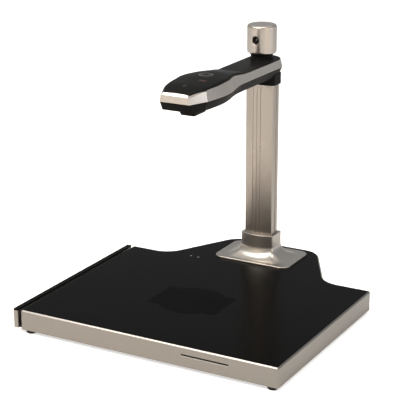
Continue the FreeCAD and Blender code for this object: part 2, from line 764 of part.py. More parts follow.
def column_foot():
    flange = plate(0, COLUMN_Y, FLANGE_HALF_X, FLANGE_HALF_Y, FLANGE_R, TOP, TOP + FLANGE_T)
    flange = flange.makeFillet(0.8, edges_at(flange, TOP + FLANGE_T))
    sections = [flare_section(i / FLARE_STEPS) for i in range(FLARE_STEPS + 1)]
    body = Part.makeLoft(sections, True, False).fuse(flange)
    collar = bowed_prism(COLLAR_GROW, TOP, COLLAR_TOP, FLARE_END_R, FLARE_END_R, COLLAR_BOW)
    body = body.fuse(collar.makeFillet(0.5, edges_at(collar, COLLAR_TOP)))
    body = body.cut(bowed_prism(0.25, FOOT_FLOOR, COLLAR_TOP + 1))
    body = body.cut(rod(0, COLUMN_Y, TOP - 1, FOOT_FLOOR + 1, CABLE_HOLE_R))
    for x, y in COLUMN_SCREWS:
        body = body.cut(rod(x, y, TOP - 1, FOOT_FLOOR + 1, 2.2))
    for x, y in FOOT_SCREWS:
        body = body.cut(rod(x, y, TOP - 1, TOP + FLANGE_T - 0.6, 1.65))
    return body


def foot_screws():
    length = PANEL_T + BRACKET_T + 1.2
    return group([screw(x, y, BRACKET_Z, length, 1.6, head_r=3.2) for x, y in FOOT_SCREWS])


PLUG_DEPTH = 14.0
PLUG_CAP = 1.2
GROOVES_X = (-6.9, -1.5, 3.0)
GROOVES_W = (1.0, 1.2, 0.7)
GROOVE_DEPTH = 0.6
SIDE_GROOVE_Y = COLUMN_Y - 1.0
SIDE_GROOVE_W = 1.6


def column():
    """Extruded tube with two screw ports inside and grooves down its front and sides."""
    low = FOOT_FLOOR - 1
    body = bowed_prism(0, FOOT_FLOOR, COLUMN_TOP - PLUG_CAP)
    ports = []
    for x, y in COLUMN_SCREWS:
        ports.append(rod(x, y, low, COLUMN_TOP, 3.6))
        ports.append(box(x - 0.9, x + 0.9, y, y + 12, low, COLUMN_TOP))
    body = body.cut(bowed_prism(-COLUMN_WALL, low, COLUMN_TOP).cut(group(ports)))
    for x, y in COLUMN_SCREWS:
        body = body.cut(rod(x, y, low, COLUMN_TOP, 1.65))
    nose = COLUMN_Y - COLUMN_HALF_Y - COLUMN_BOW
    for x, width in zip(GROOVES_X, GROOVES_W):
        sag = COLUMN_BOW * (x / COLUMN_HALF_X) ** 2
        bottom = nose + sag + GROOVE_DEPTH
        body = body.cut(box(x - width / 2, x + width / 2, nose - 1, bottom, low, COLUMN_TOP))
    y0 = SIDE_GROOVE_Y - SIDE_GROOVE_W / 2
    y1 = SIDE_GROOVE_Y + SIDE_GROOVE_W / 2
    side = box(COLUMN_HALF_X - GROOVE_DEPTH, COLUMN_HALF_X + 1, y0, y1, low, COLUMN_TOP)
    return body.cut(side).cut(mirrored(side))


def column_screws():
    length = FOOT_FLOOR - BRACKET_Z + 14.0
    return group([screw(x, y, BRACKET_Z, length, 1.6, head_r=3.2) for x, y in COLUMN_SCREWS])


# ---- arm pivot ----
SPINDLE_R = 5.0
SPINDLE_BORE = 3.2
BLOCK_Z = COLUMN_TOP + 0.3
BLOCK_FLOOR = 4.0
BLOCK_BACK_R = 6.0
BLOCK_GROW = 1.95
BUSH_R = 7.0
WASHER_R = 9.0
SPINDLE_TOP = BLOCK_Z + 15.0


def column_plug():
    """Cap of the column: carries the spindle and closes the tube."""
    low = COLUMN_TOP - PLUG_DEPTH
    shoulder = COLUMN_TOP - PLUG_CAP
    plug = bowed_prism(-COLUMN_WALL - 0.2, low, shoulder)
    for x, y in COLUMN_SCREWS:
        plug = plug.cut(rod(x, y, low - 1, shoulder, 3.9))
        plug = plug.cut(box(x - 1.1, x + 1.1, y, y + 12, low - 1, shoulder))
    body = bowed_prism(0, shoulder, COLUMN_TOP).fuse(plug)
    return body.cut(rod(0, COLUMN_Y, low - 1, COLUMN_TOP + 1, SPINDLE_R))


def pivot_spindle():
    low = COLUMN_TOP - PLUG_DEPTH
    body = rod(0, COLUMN_Y, low, SPINDLE_TOP, SPINDLE_R)
    body = body.fuse(rod(0, COLUMN_Y, low - 2.0, low, SPINDLE_R + 1.5))
    return body.cut(rod(0, COLUMN_Y, low - 3, SPINDLE_TOP + 1, SPINDLE_BORE)).removeSplitter()


def spindle_nut():
    nut = hex_prism(0, COLUMN_Y, SPINDLE_TOP - 4.5, SPINDLE_TOP - 0.5, 15.0)
    return nut.cut(rod(0, COLUMN_Y, SPINDLE_TOP - 6, SPINDLE_TOP + 1, SPINDLE_R))


def pivot_bush():
    top = SPINDLE_TOP - 5.4
    body = rod(0, COLUMN_Y, BLOCK_Z + 0.3, top, BUSH_R)
    body = body.fuse(rod(0, COLUMN_Y, BLOCK_Z + BLOCK_FLOOR, BLOCK_Z + BLOCK_FLOOR + 1.5, WASHER_R))
    return body.cut(rod(0, COLUMN_Y, BLOCK_Z, top + 1, SPINDLE_R + 0.05)).removeSplitter()


def wave_washer():
    z = SPINDLE_TOP - 5.4
    return tube(0, COLUMN_Y, z, z + 0.6, 7.2, SPINDLE_R + 0.3)


def friction_washer():
    return tube(0, COLUMN_Y, COLUMN_TOP + 0.05, BLOCK_Z + 0.8, WASHER_R, BUSH_R + 0.1)


def column_cable():
    return rod(0, COLUMN_Y, CABLE_SOCKET_TOP, SPINDLE_TOP + 0.5, 2.2)


# ---- arm ----
LIFT = 288.0
REAR_GROW = 0.6


def edge_height(i):
    return TOP_LINE[i + 1][1]


def lifted_line():
    """The band's side slopes continued from the panel's edge up to LIFT."""
    line = []
    for i, ((bx, by), (px, _)) in enumerate(zip(BAND_LINE, PANEL_LINE)):
        grow = (LIFT - ARM_BAND_Z) / (edge_height(i) - ARM_BAND_Z)
        line.append((bx + (px - bx) * grow, by))
    return line


def side_curve(points):
    curve = Part.BSplineCurve()
    start = points[1].sub(points[0])
    curve.interpolate(Points=points, InitialTangent=start, FinalTangent=V(0, start.Length, 0))
    return curve.toShape()


def arm_outline(line, z, inset=0.0):
    """Closed outline of the arm: flat nose, cut corners, waisted sides, half-round end."""
    front_x = line[0][0] - inset * 0.6
    front_y = line[0][1] + inset
    half = line[-1][0] + REAR_GROW - inset
    points = [V(x - inset, y, z) for x, y in line[1:]]
    right = side_curve(points)
    left = right.mirror(V(0, 0, 0), V(1, 0, 0))
    nose = [V(-front_x, front_y, z), V(front_x, front_y, z)]
    edges = [
        Part.LineSegment(nose[0], nose[1]).toShape(),
        Part.LineSegment(nose[1], points[0]).toShape(),
        right,
        Part.LineSegment(points[-1], V(half, COLUMN_Y, z)).toShape(),
        Part.Arc(V(half, COLUMN_Y, z), V(0, COLUMN_Y + half, z), V(-half, COLUMN_Y, z)).toShape(),
        Part.LineSegment(V(-half, COLUMN_Y, z), V(-points[-1].x, points[-1].y, z)).toShape(),
        left,
        Part.LineSegment(V(-points[0].x, points[0].y, z), nose[0]).toShape(),
    ]
    return Part.Wire(edges)


def arm_loft(low_line, low_z, high_line, high_z, inset=0.0):
    low = arm_outline(low_line, low_z, inset)
    high = arm_outline(high_line, high_z, inset)
    return Part.makeLoft([low, high], True, True)


def blend(table, y):
    """Row of the table at y, read off smooth curves through its rows."""
    last = len(table) - 1
    i = max(k for k in range(last) if table[k][0] <= y + 1e-9)
    step = table[i + 1][0] - table[i][0]
    t = (y - table[i][0]) / step
    row = []
    for k in range(1, len(table[0])):
        before = table[max(i - 1, 0)]
        after = table[min(i + 2, last)]
        m0 = (table[i + 1][k] - before[k]) / (table[i + 1][0] - before[0]) * step
        m1 = (after[k] - table[i][k]) / (after[0] - table[i][0]) * step
        rise = table[i + 1][k] - table[i][k]
        value = table[i][k] + t * (m0 + t * (3 * rise - 2 * m0 - m1 + t * (m0 + m1 - 2 * rise)))
        row.append(value)
    return row


def panel_half(y):
    line = [(station_y, x) for x, station_y in PANEL_LINE]
    return blend(line, max(y, line[0][0]))[0]


def crown_section(y, shape_y, drop):
    """Gentle crown between two sloping shoulders, which run on past the panel's edge."""
    edge_z, rise, crown_z = blend(TOP_LINE, shape_y)
    over = 6.0
    inner = panel_half(shape_y) - SHOULDER_W
    outer = inner + SHOULDER_W + over
    low = 240.0
    edge = edge_z - rise / SHOULDER_W * over - drop
    shoulder = edge_z + rise - drop
    arc = Part.Arc(V(inner, y, shoulder), V(0, y, crown_z - drop), V(-inner, y, shoulder))
    left = [(-inner, shoulder), (-outer, edge), (-outer, low)]
    corners = left + [(-x, z) for x, z in reversed(left)]
    sides = Part.makePolygon([V(x, y, z) for x, z in corners])
    return Part.Wire([arc.toShape()] + sides.Edges)


CROWN_STEP = 7.0


def arm_crown(drop=0.0):
    """Everything under the arm's top surface."""
    front = TOP_LINE[0][0]
    steps = int((NECK_Y - front) / CROWN_STEP)
    stations = [front + CROWN_STEP * i for i in range(steps + 1)]
    head = Part.makeLoft([crown_section(y, y, drop) for y in stations], True, False)
    ends = [crown_section(NECK_Y, NECK_Y, drop), crown_section(REAR - 16, NECK_Y, drop)]
    return head.fuse(Part.makeLoft(ends, True, True))


PANEL_FRONT = -85.1
RIM_SLOPE = side_prism(
    [(-99, 273.9), (ARM_FRONT_Y, 273.9), (PANEL_FRONT, 276.4), (PANEL_FRONT, 295), (-99, 295)], -60, 60
)


def arm_plan(inset, z0, z1):
    """Upright solid inside the panel's edge line."""
    line = [(16.6, PANEL_FRONT)] + PANEL_LINE[1:]
    return prism(arm_outline(line, z0, inset), z1 - z0)


def boss_block(grow):
    """Tapered block round the downward lens."""
    low = outline(rect_corners(0, LENS_Y, 8.8 - grow, 13.2 - grow, 2.5), BOSS_BOTTOM + grow)
    high = outline(rect_corners(0, LENS_Y, 12.5 - grow, 17.0 - grow, 3.5), ARM_FLOOR_Z + 0.5 + grow)
    return Part.makeLoft([low, high], True, True)


LENS_R = 6.5
WINDOW_X = 18.2
WINDOW_HALF = (2.6, 12.0)
SHELL_SCREWS = [(0.0, -75.0), (-14.0, -8.0), (14.0, -8.0), (0.0, 58.0), (0.0, 92.0)]


def light_window_holes(clearance, z0, z1):
    return [
        plate(side * WINDOW_X, LENS_Y, WINDOW_HALF[0] - clearance, WINDOW_HALF[1] - clearance, 1.2, z0, z1)
        for side in (-1, 1)
    ]


BOARD_POSTS = [(-8.0, -26.0), (8.0, -26.0), (-8.0, 28.0), (8.0, 28.0)]


def arm_lower_shell():
    top = ARM_BAND_Z - 0.15
    body = arm_loft(FLOOR_LINE, ARM_FLOOR_Z, BAND_LINE, top)
    body = body.fuse(bowed_prism(BLOCK_GROW, BLOCK_Z, ARM_FLOOR_Z + 3.5, 3.5, BLOCK_BACK_R))
    body = body.fuse(boss_block(0))
    body = body.cut(arm_loft(FLOOR_LINE, ARM_FLOOR_Z + ARM_WALL, BAND_LINE, top + 0.5, ARM_WALL))
    room_r = BLOCK_BACK_R - ARM_WALL
    body = body.cut(bowed_prism(BLOCK_GROW - ARM_WALL, BLOCK_Z + BLOCK_FLOOR, ARM_BAND_Z, 2.0, room_r))
    body = body.cut(boss_block(1.6))
    for x, y in SHELL_SCREWS:
        body = body.fuse(rod(x, y, ARM_FLOOR_Z + 0.5, ARM_BAND_Z, 3.2))
        body = body.cut(rod(x, y, ARM_FLOOR_Z - 1, ARM_BAND_Z + 1, 1.2))
        body = body.cut(rod(x, y, ARM_FLOOR_Z - 1, ARM_FLOOR_Z + 2.4, 2.4))
    for x, y in BOARD_POSTS:
        body = body.fuse(rod(x, y, ARM_FLOOR_Z + 0.5, CONTROL_Z - 1.2, 2.0))
    body = body.cut(rod(0, LENS_Y, BOSS_BOTTOM - 1, ARM_FLOOR_Z, LENS_R + 0.1))
    body = body.cut(rod(0, COLUMN_Y, BLOCK_Z - 1, BLOCK_Z + BLOCK_FLOOR + 1, BUSH_R))
    body = body.cut(rod(0, COLUMN_Y, BLOCK_Z - 1, BLOCK_Z + 0.8, WASHER_R + 0.1))
    for hole in light_window_holes(0, ARM_FLOOR_Z - 1, ARM_FLOOR_Z + 4):
        body = body.cut(hole)
    return body


def shell_screws():
    screws = []
    for x, y in SHELL_SCREWS:
        screws.append(screw(x, y, ARM_FLOOR_Z + 2.4, 13.0, 1.15, head_r=2.2, head_h=1.4))
    return group(screws)


def arm_trim_band(crown):
    body = arm_loft(BAND_LINE, ARM_BAND_Z, lifted_line(), LIFT).common(crown).cut(RIM_SLOPE)
    seat = arm_plan(PANEL_INSET, *ARM_LIMITS_Z).cut(arm_crown(ARM_WALL))
    body = body.cut(seat)
    return body.cut(arm_plan(PANEL_INSET + 1.6, *ARM_LIMITS_Z))


def arm_top_panel(crown):
    body = crown.cut(arm_crown(ARM_WALL - 0.05)).common(arm_plan(PANEL_INSET + 0.1, *ARM_LIMITS_Z))
    low = CONTROL_Z
    high = ARM_LIMITS_Z[1]
    body = body.cut(rod(0, BUTTON_Y, low, high, BUTTON_R + 0.3))
    body = body.cut(status_prism(0.1, low, high))
    body = body.cut(rod(0, SWIVEL_Y, low, high, SEAT_SPIGOT_R))
    for x, y in SHELL_SCREWS:
        post = tube(x, y, ARM_BAND_Z + 0.1, high, 3.0, 1.2)
        body = body.fuse(post.common(arm_crown(ARM_WALL - 0.1)))
    return body


STATUS = (9.0, -41.5, 4.6, 2.2)


def status_prism(clearance, z0, z1):
    x, y, half_x, half_y = STATUS
    return plate(x, y, half_x + clearance, half_y + clearance, 1.8, z0, z1)


def status_window(crown):
    return status_prism(0, 277.5, 290).common(crown)


# ---- arm contents ----
CONTROL_Z = 270.4
SWITCH_TOP = 274.6


def control_board():
    body = box(-10.5, 10.5, -50.0, 36.0, CONTROL_Z - 1.2, CONTROL_Z)
    chip = box(-5.0, 5.0, 6.0, 16.0, CONTROL_Z, CONTROL_Z + 1.2)
    header = box(-8.0, -3.0, 24.0, 32.0, CONTROL_Z, CONTROL_Z + 2.5)
    x, y = STATUS[:2]
    lamp = box(x - 1.5, x + 1.5, y - 1.0, y + 1.0, CONTROL_Z, CONTROL_Z + 1.0)
    body = body.multiFuse([chip, header, lamp])
    return body.cut(rod(0, LENS_Y, 260, 275, 3.4)).removeSplitter()


def button_switch():
    base = box(-3.1, 3.1, BUTTON_Y - 3.1, BUTTON_Y + 3.1, CONTROL_Z, SWITCH_TOP - 0.8)
    return base.fuse(rod(0, BUTTON_Y, SWITCH_TOP - 0.8, SWITCH_TOP, 1.7)).removeSplitter()


def capture_button():
    """Round key with a dished middle and a skirt that keeps it under the panel."""
    skirt_z = 280.2
    top = 283.6
    body = rod(0, BUTTON_Y, skirt_z + 1.0, top, BUTTON_R)
    body = body.makeFillet(0.5, edges_at(body, top))
    skirt = rod(0, BUTTON_Y, skirt_z, skirt_z + 1.0, BUTTON_R + 1.2)
    stem = rod(0, BUTTON_Y, SWITCH_TOP + BUTTON_TRAVEL + 0.05, skirt_z, 2.0)
    dish = Part.makeSphere(11.0, V(0, BUTTON_Y, top + 11.0 - 0.7))
    return body.fuse(skirt).fuse(stem).cut(dish).removeSplitter()


BOARD_LIFT = 259.0


def camera_board():
    body = box(-11.0, 11.0, LENS_Y - 15.0, LENS_Y + 15.0, BOARD_LIFT, BOARD_LIFT + 1.2)
    sensor = box(-5.0, 5.0, LENS_Y - 4.5, LENS_Y + 4.5, BOARD_LIFT - 1.0, BOARD_LIFT)
    plug = box(-7.0, 7.0, LENS_Y + 9.0, LENS_Y + 13.0, BOARD_LIFT + 1.2, BOARD_LIFT + 3.6)
    return body.multiFuse([sensor, plug]).removeSplitter()


def lens_barrel():
    body = rod(0, LENS_Y, BOSS_BOTTOM + 1.2, BOARD_LIFT - 1.0, LENS_R)
    body = body.cut(rod(0, LENS_Y, BOSS_BOTTOM, BOSS_BOTTOM + 3.6, 4.6))
    body = body.cut(cone(0, LENS_Y, BOSS_BOTTOM + 1.1, BOSS_BOTTOM + 2.4, 5.9, 4.6))
    return body.cut(rod(0, LENS_Y, BOSS_BOTTOM + 3.0, BOARD_LIFT, 3.0))


def lens_glass():
    """Front element: a low dome resting in the barrel's seat."""
    disc = rod(0, LENS_Y, BOSS_BOTTOM + 1.0, BOSS_BOTTOM + 3.5, 4.5)
    radius = 12.0
    dome = Part.makeSphere(radius, V(0, LENS_Y, BOSS_BOTTOM + 2.0 + radius))
    return disc.common(dome)


def lens_bezel():
    return tube(0, LENS_Y, BOSS_BOTTOM + 0.15, BOSS_BOTTOM + 1.15, LENS_R, 5.9)


def light_windows():
    return group(light_window_holes(0.1, ARM_FLOOR_Z, ARM_FLOOR_Z + 1.8))


def light_boards():
    boards = []
    z = ARM_FLOOR_Z + 3.4
    for side in (-1, 1):
        x = side * WINDOW_X
        board = box(x - 2.8, x + 2.8, LENS_Y - 13, LENS_Y + 13, z, z + 1.0)
        lamps = [
            box(x - 1.4, x + 1.4, LENS_Y + dy - 1.4, LENS_Y + dy + 1.4, z - 0.8, z)
            for dy in (-8.0, 0.0, 8.0)
        ]
        boards.append(board.multiFuse(lamps).removeSplitter())
    return group(boards)


def arm_cable():
    z = SPINDLE_TOP + 2.8
    return cable(
        [
            (0, COLUMN_Y, SPINDLE_TOP + 2.0), (0, COLUMN_Y - 4, z + 2.6), (5, COLUMN_Y - 15, z + 2.2),
            (8, 96, z), (8, 60, z), (6, 46, z + 2.5), (4, 37.5, CONTROL_Z - 0.6),
        ],
        3.0,
    )


# ---- portrait camera ----
SEAT_TOP = 277.9
SEAT_R = 13.6
SEAT_SPIGOT_R = 9.0
NECK_R = 13.2
AXLE_R = 6.0
CAMERA_FACE_Y = SWIVEL_Y - CAMERA_R
LENS_HOLE_R = 4.3
LENS_FLARE_R = 5.2
HOUSING_WALL = 1.8
EDGE_R = 3.0
SEAT_Z = BEAM_TOP


def swivel_seat():
    body = cone(0, SWIVEL_Y, SEAT_Z, SEAT_TOP - 0.6, SEAT_R, SEAT_R - 0.3)
    body = body.fuse(cone(0, SWIVEL_Y, SEAT_TOP - 0.6, SEAT_TOP, SEAT_R - 0.3, SEAT_R - 0.9))
    body = body.fuse(rod(0, SWIVEL_Y, SEAT_Z - 2.2, SEAT_Z, SEAT_SPIGOT_R - 0.1))
    return body.cut(rod(0, SWIVEL_Y, SEAT_Z - 5, SEAT_TOP + 1, AXLE_R + 0.05)).removeSplitter()


def housing_cap():
    """Bottom of the portrait camera with the neck and the hollow axle."""
    neck = rod(0, SWIVEL_Y, SEAT_TOP + 0.3, CAMERA_BOTTOM - 1.5, NECK_R)
    neck = neck.fuse(cone(0, SWIVEL_Y, CAMERA_BOTTOM - 1.5, CAMERA_BOTTOM, NECK_R, NECK_R - 1.2))
    disc = rod(0, SWIVEL_Y, CAMERA_BOTTOM, CAMERA_BOTTOM + 2.0, CAMERA_R - EDGE_R - 0.1)
    axle = rod(0, SWIVEL_Y, SEAT_Z - 4.2, SEAT_TOP + 0.3, AXLE_R)
    groove = tube(0, SWIVEL_Y, SEAT_Z - 3.6, SEAT_Z - 2.6, AXLE_R + 1, AXLE_R - 1.0)
    body = neck.multiFuse([disc, axle]).cut(groove)
    return body.cut(rod(0, SWIVEL_Y, SEAT_Z - 5, CAMERA_BOTTOM + 3, 2.6)).removeSplitter()


def swivel_clip():
    z = SEAT_Z - 3.5
    ring = tube(0, SWIVEL_Y, z, z + 0.8, AXLE_R + 2.2, AXLE_R - 0.9)
    return ring.cut(box(-4, 4, SWIVEL_Y, SWIVEL_Y + 10, z - 1, z + 2))


def housing_profile(r, low, high, edge):
    """Half section of a round housing with rounded edges, for turning about its axis."""
    bend = edge * (1 - math.cos(math.pi / 4))
    curves = [
        Part.LineSegment(V(0, 0, low), V(r - edge, 0, low)),
        Part.Arc(V(r - edge, 0, low), V(r - bend, 0, low + bend), V(r, 0, low + edge)),
        Part.LineSegment(V(r, 0, low + edge), V(r, 0, high - edge)),
        Part.Arc(V(r, 0, high - edge), V(r - bend, 0, high - bend), V(r - edge, 0, high)),
        Part.LineSegment(V(r - edge, 0, high), V(0, 0, high)),
        Part.LineSegment(V(0, 0, high), V(0, 0, low)),
    ]
    wire = Part.Wire([curve.toShape() for curve in curves])
    solid = Part.Face(wire).revolve(V(0, 0, 0), UP, 360)
    solid.translate(V(0, SWIVEL_Y, 0))
    return solid


def camera_housing():
    """Round shell, open at the bottom, with a flared hole for the lens."""
    low = CAMERA_BOTTOM
    wall = HOUSING_WALL
    body = housing_profile(CAMERA_R, low, CAMERA_TOP, EDGE_R)
    body = body.cut(housing_profile(CAMERA_R - wall, low + wall, CAMERA_TOP - wall, EDGE_R - 1.0))
    body = body.cut(rod(0, SWIVEL_Y, low - 1, low + 3, CAMERA_R - EDGE_R))
    body = body.cut(rod_y(0, CAMERA_FACE_Y - 1, CAMERA_FACE_Y + 5, CAMERA_LENS_Z, LENS_HOLE_R))
    return body.cut(cone_y(CAMERA_FACE_Y, CAMERA_FACE_Y + 1.4, CAMERA_LENS_Z, LENS_FLARE_R, LENS_HOLE_R))


def portrait_lens_bezel():
    """Lens barrel behind the hole, with a stepped cup round the glass."""
    front = CAMERA_FACE_Y + 2.0
    body = rod_y(0, front, front + 7.0, CAMERA_LENS_Z, LENS_HOLE_R - 0.1)
    body = body.cut(rod_y(0, front - 1, front + 8.0, CAMERA_LENS_Z, 2.6))
    return body.cut(cone_y(front - 0.01, front + 1.6, CAMERA_LENS_Z, 3.9, 2.6))


def portrait_lens_glass():
    disc = rod_y(0, CAMERA_FACE_Y + 3.2, CAMERA_FACE_Y + 5.6, CAMERA_LENS_Z, 2.5)
    dome = Part.makeSphere(5.0, V(0, CAMERA_FACE_Y + 8.3, CAMERA_LENS_Z))
    return disc.common(dome)


def portrait_board():
    y0 = CAMERA_FACE_Y + 9.0
    board = box(-11.0, 11.0, y0, y0 + 1.2, CAMERA_LENS_Z - 10.0, CAMERA_LENS_Z + 9.0)
    plug = box(-4.0, 4.0, y0 + 1.2, y0 + 3.6, CAMERA_LENS_Z - 9.0, CAMERA_LENS_Z - 5.0)
    return board.fuse(plug).removeSplitter()


def portrait_cable():
    start = V(0, CAMERA_FACE_Y + 13.0, CAMERA_LENS_Z - 7.0)
    corner = V(0, SWIVEL_Y, CAMERA_LENS_Z - 7.2)
    return cable([start, corner, V(0, SWIVEL_Y, SEAT_Z - 4.5)], 2.2)


# ---- build ----
def main():
    os.makedirs("parts", exist_ok=True)
    crown = arm_crown()
    shapes = {
        "base_frame": base_frame(),
        "top_panel": top_panel(),
        "card_zone_film": card_zone_film(),
        "bottom_cover": bottom_cover(),
        "rubber_feet": rubber_feet(),
        "cover_screws": cover_screws(),
        "panel_supports": panel_supports(),
        "weight_plate": weight_plate(),
        "swipe_rail": swipe_rail(),
        "swipe_rail_cap": swipe_rail_cap(),
        "rail_screws": rail_screws(),
        "read_head": read_head(),
        "read_head_spring": read_head_spring(),
        "card_reader_lower": card_reader_lower(),
        "card_reader_upper": card_reader_upper(),
        "card_contacts": card_contacts(),
        "antenna_board": antenna_board(),
        "main_board": main_board(),
        "board_parts": board_parts(),
        "usb_socket": usb_socket(),
        "status_light_pipes": status_light_pipes(),
        "status_light_board": status_light_board(),
        "base_cables": base_cables(),
        "column_bracket": column_bracket(),
        "bracket_standoffs": bracket_standoffs(),
        "bracket_screws": bracket_screws(),
        "column_foot": column_foot(),
        "foot_screws": foot_screws(),
        "column": column(),
        "column_screws": column_screws(),
        "column_plug": column_plug(),
        "pivot_spindle": pivot_spindle(),
        "spindle_nut": spindle_nut(),
        "column_cable": column_cable(),
        "arm_lower_shell": arm_lower_shell(),
        "arm_trim_band": arm_trim_band(crown),
        "arm_top_panel": arm_top_panel(crown),
        "pivot_bush": pivot_bush(),
        "wave_washer": wave_washer(),
        "friction_washer": friction_washer(),
        "camera_board": camera_board(),
        "lens_barrel": lens_barrel(),
        "lens_glass": lens_glass(),
        "lens_bezel": lens_bezel(),
        "light_boards": light_boards(),
        "light_windows": light_windows(),
        "control_board": control_board(),
        "button_switch": button_switch(),
        "status_window": status_window(crown),
        "shell_screws": shell_screws(),
        "arm_cable": arm_cable(),
        "swivel_seat": swivel_seat(),
        "capture_button": capture_button(),
        "camera_housing": camera_housing(),
        "housing_cap": housing_cap(),
        "swivel_clip": swivel_clip(),
        "portrait_lens_bezel": portrait_lens_bezel(),
        "portrait_lens_glass": portrait_lens_glass(),
        "portrait_board": portrait_board(),
        "portrait_cable": portrait_cable(),
    }
    for node, shape in shapes.items():
        shape.exportStep(os.path.join("parts", node + ".step"))
        state = "valid" if shape.isValid() else "INVALID"
        print(node, len(shape.Solids), "solids", round(shape.Volume, 1), "mm3", state)


main()
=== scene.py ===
import math

import bmesh
import bpy
from mathutils import Matrix, Vector
from mathutils.bvhtree import BVHTree


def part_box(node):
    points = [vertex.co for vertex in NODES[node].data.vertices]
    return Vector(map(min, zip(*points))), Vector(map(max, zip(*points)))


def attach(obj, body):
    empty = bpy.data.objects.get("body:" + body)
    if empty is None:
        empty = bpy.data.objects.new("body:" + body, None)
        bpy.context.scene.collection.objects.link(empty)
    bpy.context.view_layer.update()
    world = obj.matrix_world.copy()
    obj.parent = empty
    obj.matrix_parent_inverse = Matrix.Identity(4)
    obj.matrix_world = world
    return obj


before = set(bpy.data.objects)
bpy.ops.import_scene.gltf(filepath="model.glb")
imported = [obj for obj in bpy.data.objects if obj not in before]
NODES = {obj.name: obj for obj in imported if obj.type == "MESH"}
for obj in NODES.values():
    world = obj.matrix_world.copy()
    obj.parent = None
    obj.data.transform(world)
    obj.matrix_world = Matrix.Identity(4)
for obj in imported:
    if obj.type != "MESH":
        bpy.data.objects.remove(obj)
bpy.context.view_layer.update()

# ---- camera: the perspective that fits the photograph ----
AZIMUTH = math.radians(28.934)
ELEVATION = math.radians(17.941)
ROLL = math.radians(-0.056)
CAMERA_AT = Vector((0.73034, -1.33967, 0.62837))
LENS_MM = 126.48
SENSOR_MM = 36.0
SHIFT = (-0.01478, -0.00137)
CLIP = (0.05, 20.0)


def add_camera():
    back = Vector((
        math.sin(AZIMUTH) * math.cos(ELEVATION),
        -math.cos(AZIMUTH) * math.cos(ELEVATION),
        math.sin(ELEVATION),
    ))
    level = Vector((math.cos(AZIMUTH), math.sin(AZIMUTH), 0.0))
    upright = back.cross(level)
    right = level * math.cos(ROLL) + upright * math.sin(ROLL)
    up = upright * math.cos(ROLL) - level * math.sin(ROLL)
    data = bpy.data.cameras.new("view")
    data.lens = LENS_MM
    data.sensor_width = SENSOR_MM
    data.shift_x, data.shift_y = SHIFT
    data.clip_start, data.clip_end = CLIP
    camera = bpy.data.objects.new("view", data)
    turn = Matrix((right, up, back)).transposed().to_4x4()
    camera.matrix_world = Matrix.Translation(CAMERA_AT) @ turn
    bpy.context.collection.objects.link(camera)
    bpy.context.scene.camera = camera


add_camera()


# ---- materials ----
EVEN = (1.0, 1.0, 1.0)
NOISE_ROUGHNESS = 0.55
NOISE_LOW, NOISE_HIGH = 0.3, 0.7  # nearly all of a noise's values lie between these
BEVEL_SAMPLES = 6
ON_EDGE, ON_FACE = 0.86, 0.995  # agreement of the rounded normal with the true one
SOFT = 0.0001  # width over which a mark begins or ends
MIX_UNDER, MIX_OVER, MIX_RESULT = 6, 7, 2  # colour sockets of a Mix node


def mix_colours(tree, amount, under, over):
    """Goes from the colour under to the colour over as the amount goes from 0 to 1."""
    node = tree.nodes.new("ShaderNodeMix")
    node.data_type = "RGBA"
    tree.links.new(amount, node.inputs["Factor"])
    for socket, value in ((node.inputs[MIX_UNDER], under), (node.inputs[MIX_OVER], over)):
        if isinstance(value, tuple):
            socket.default_value = (*value, 1.0)
        else:
            tree.links.new(value, socket)
    return node.outputs[MIX_RESULT]


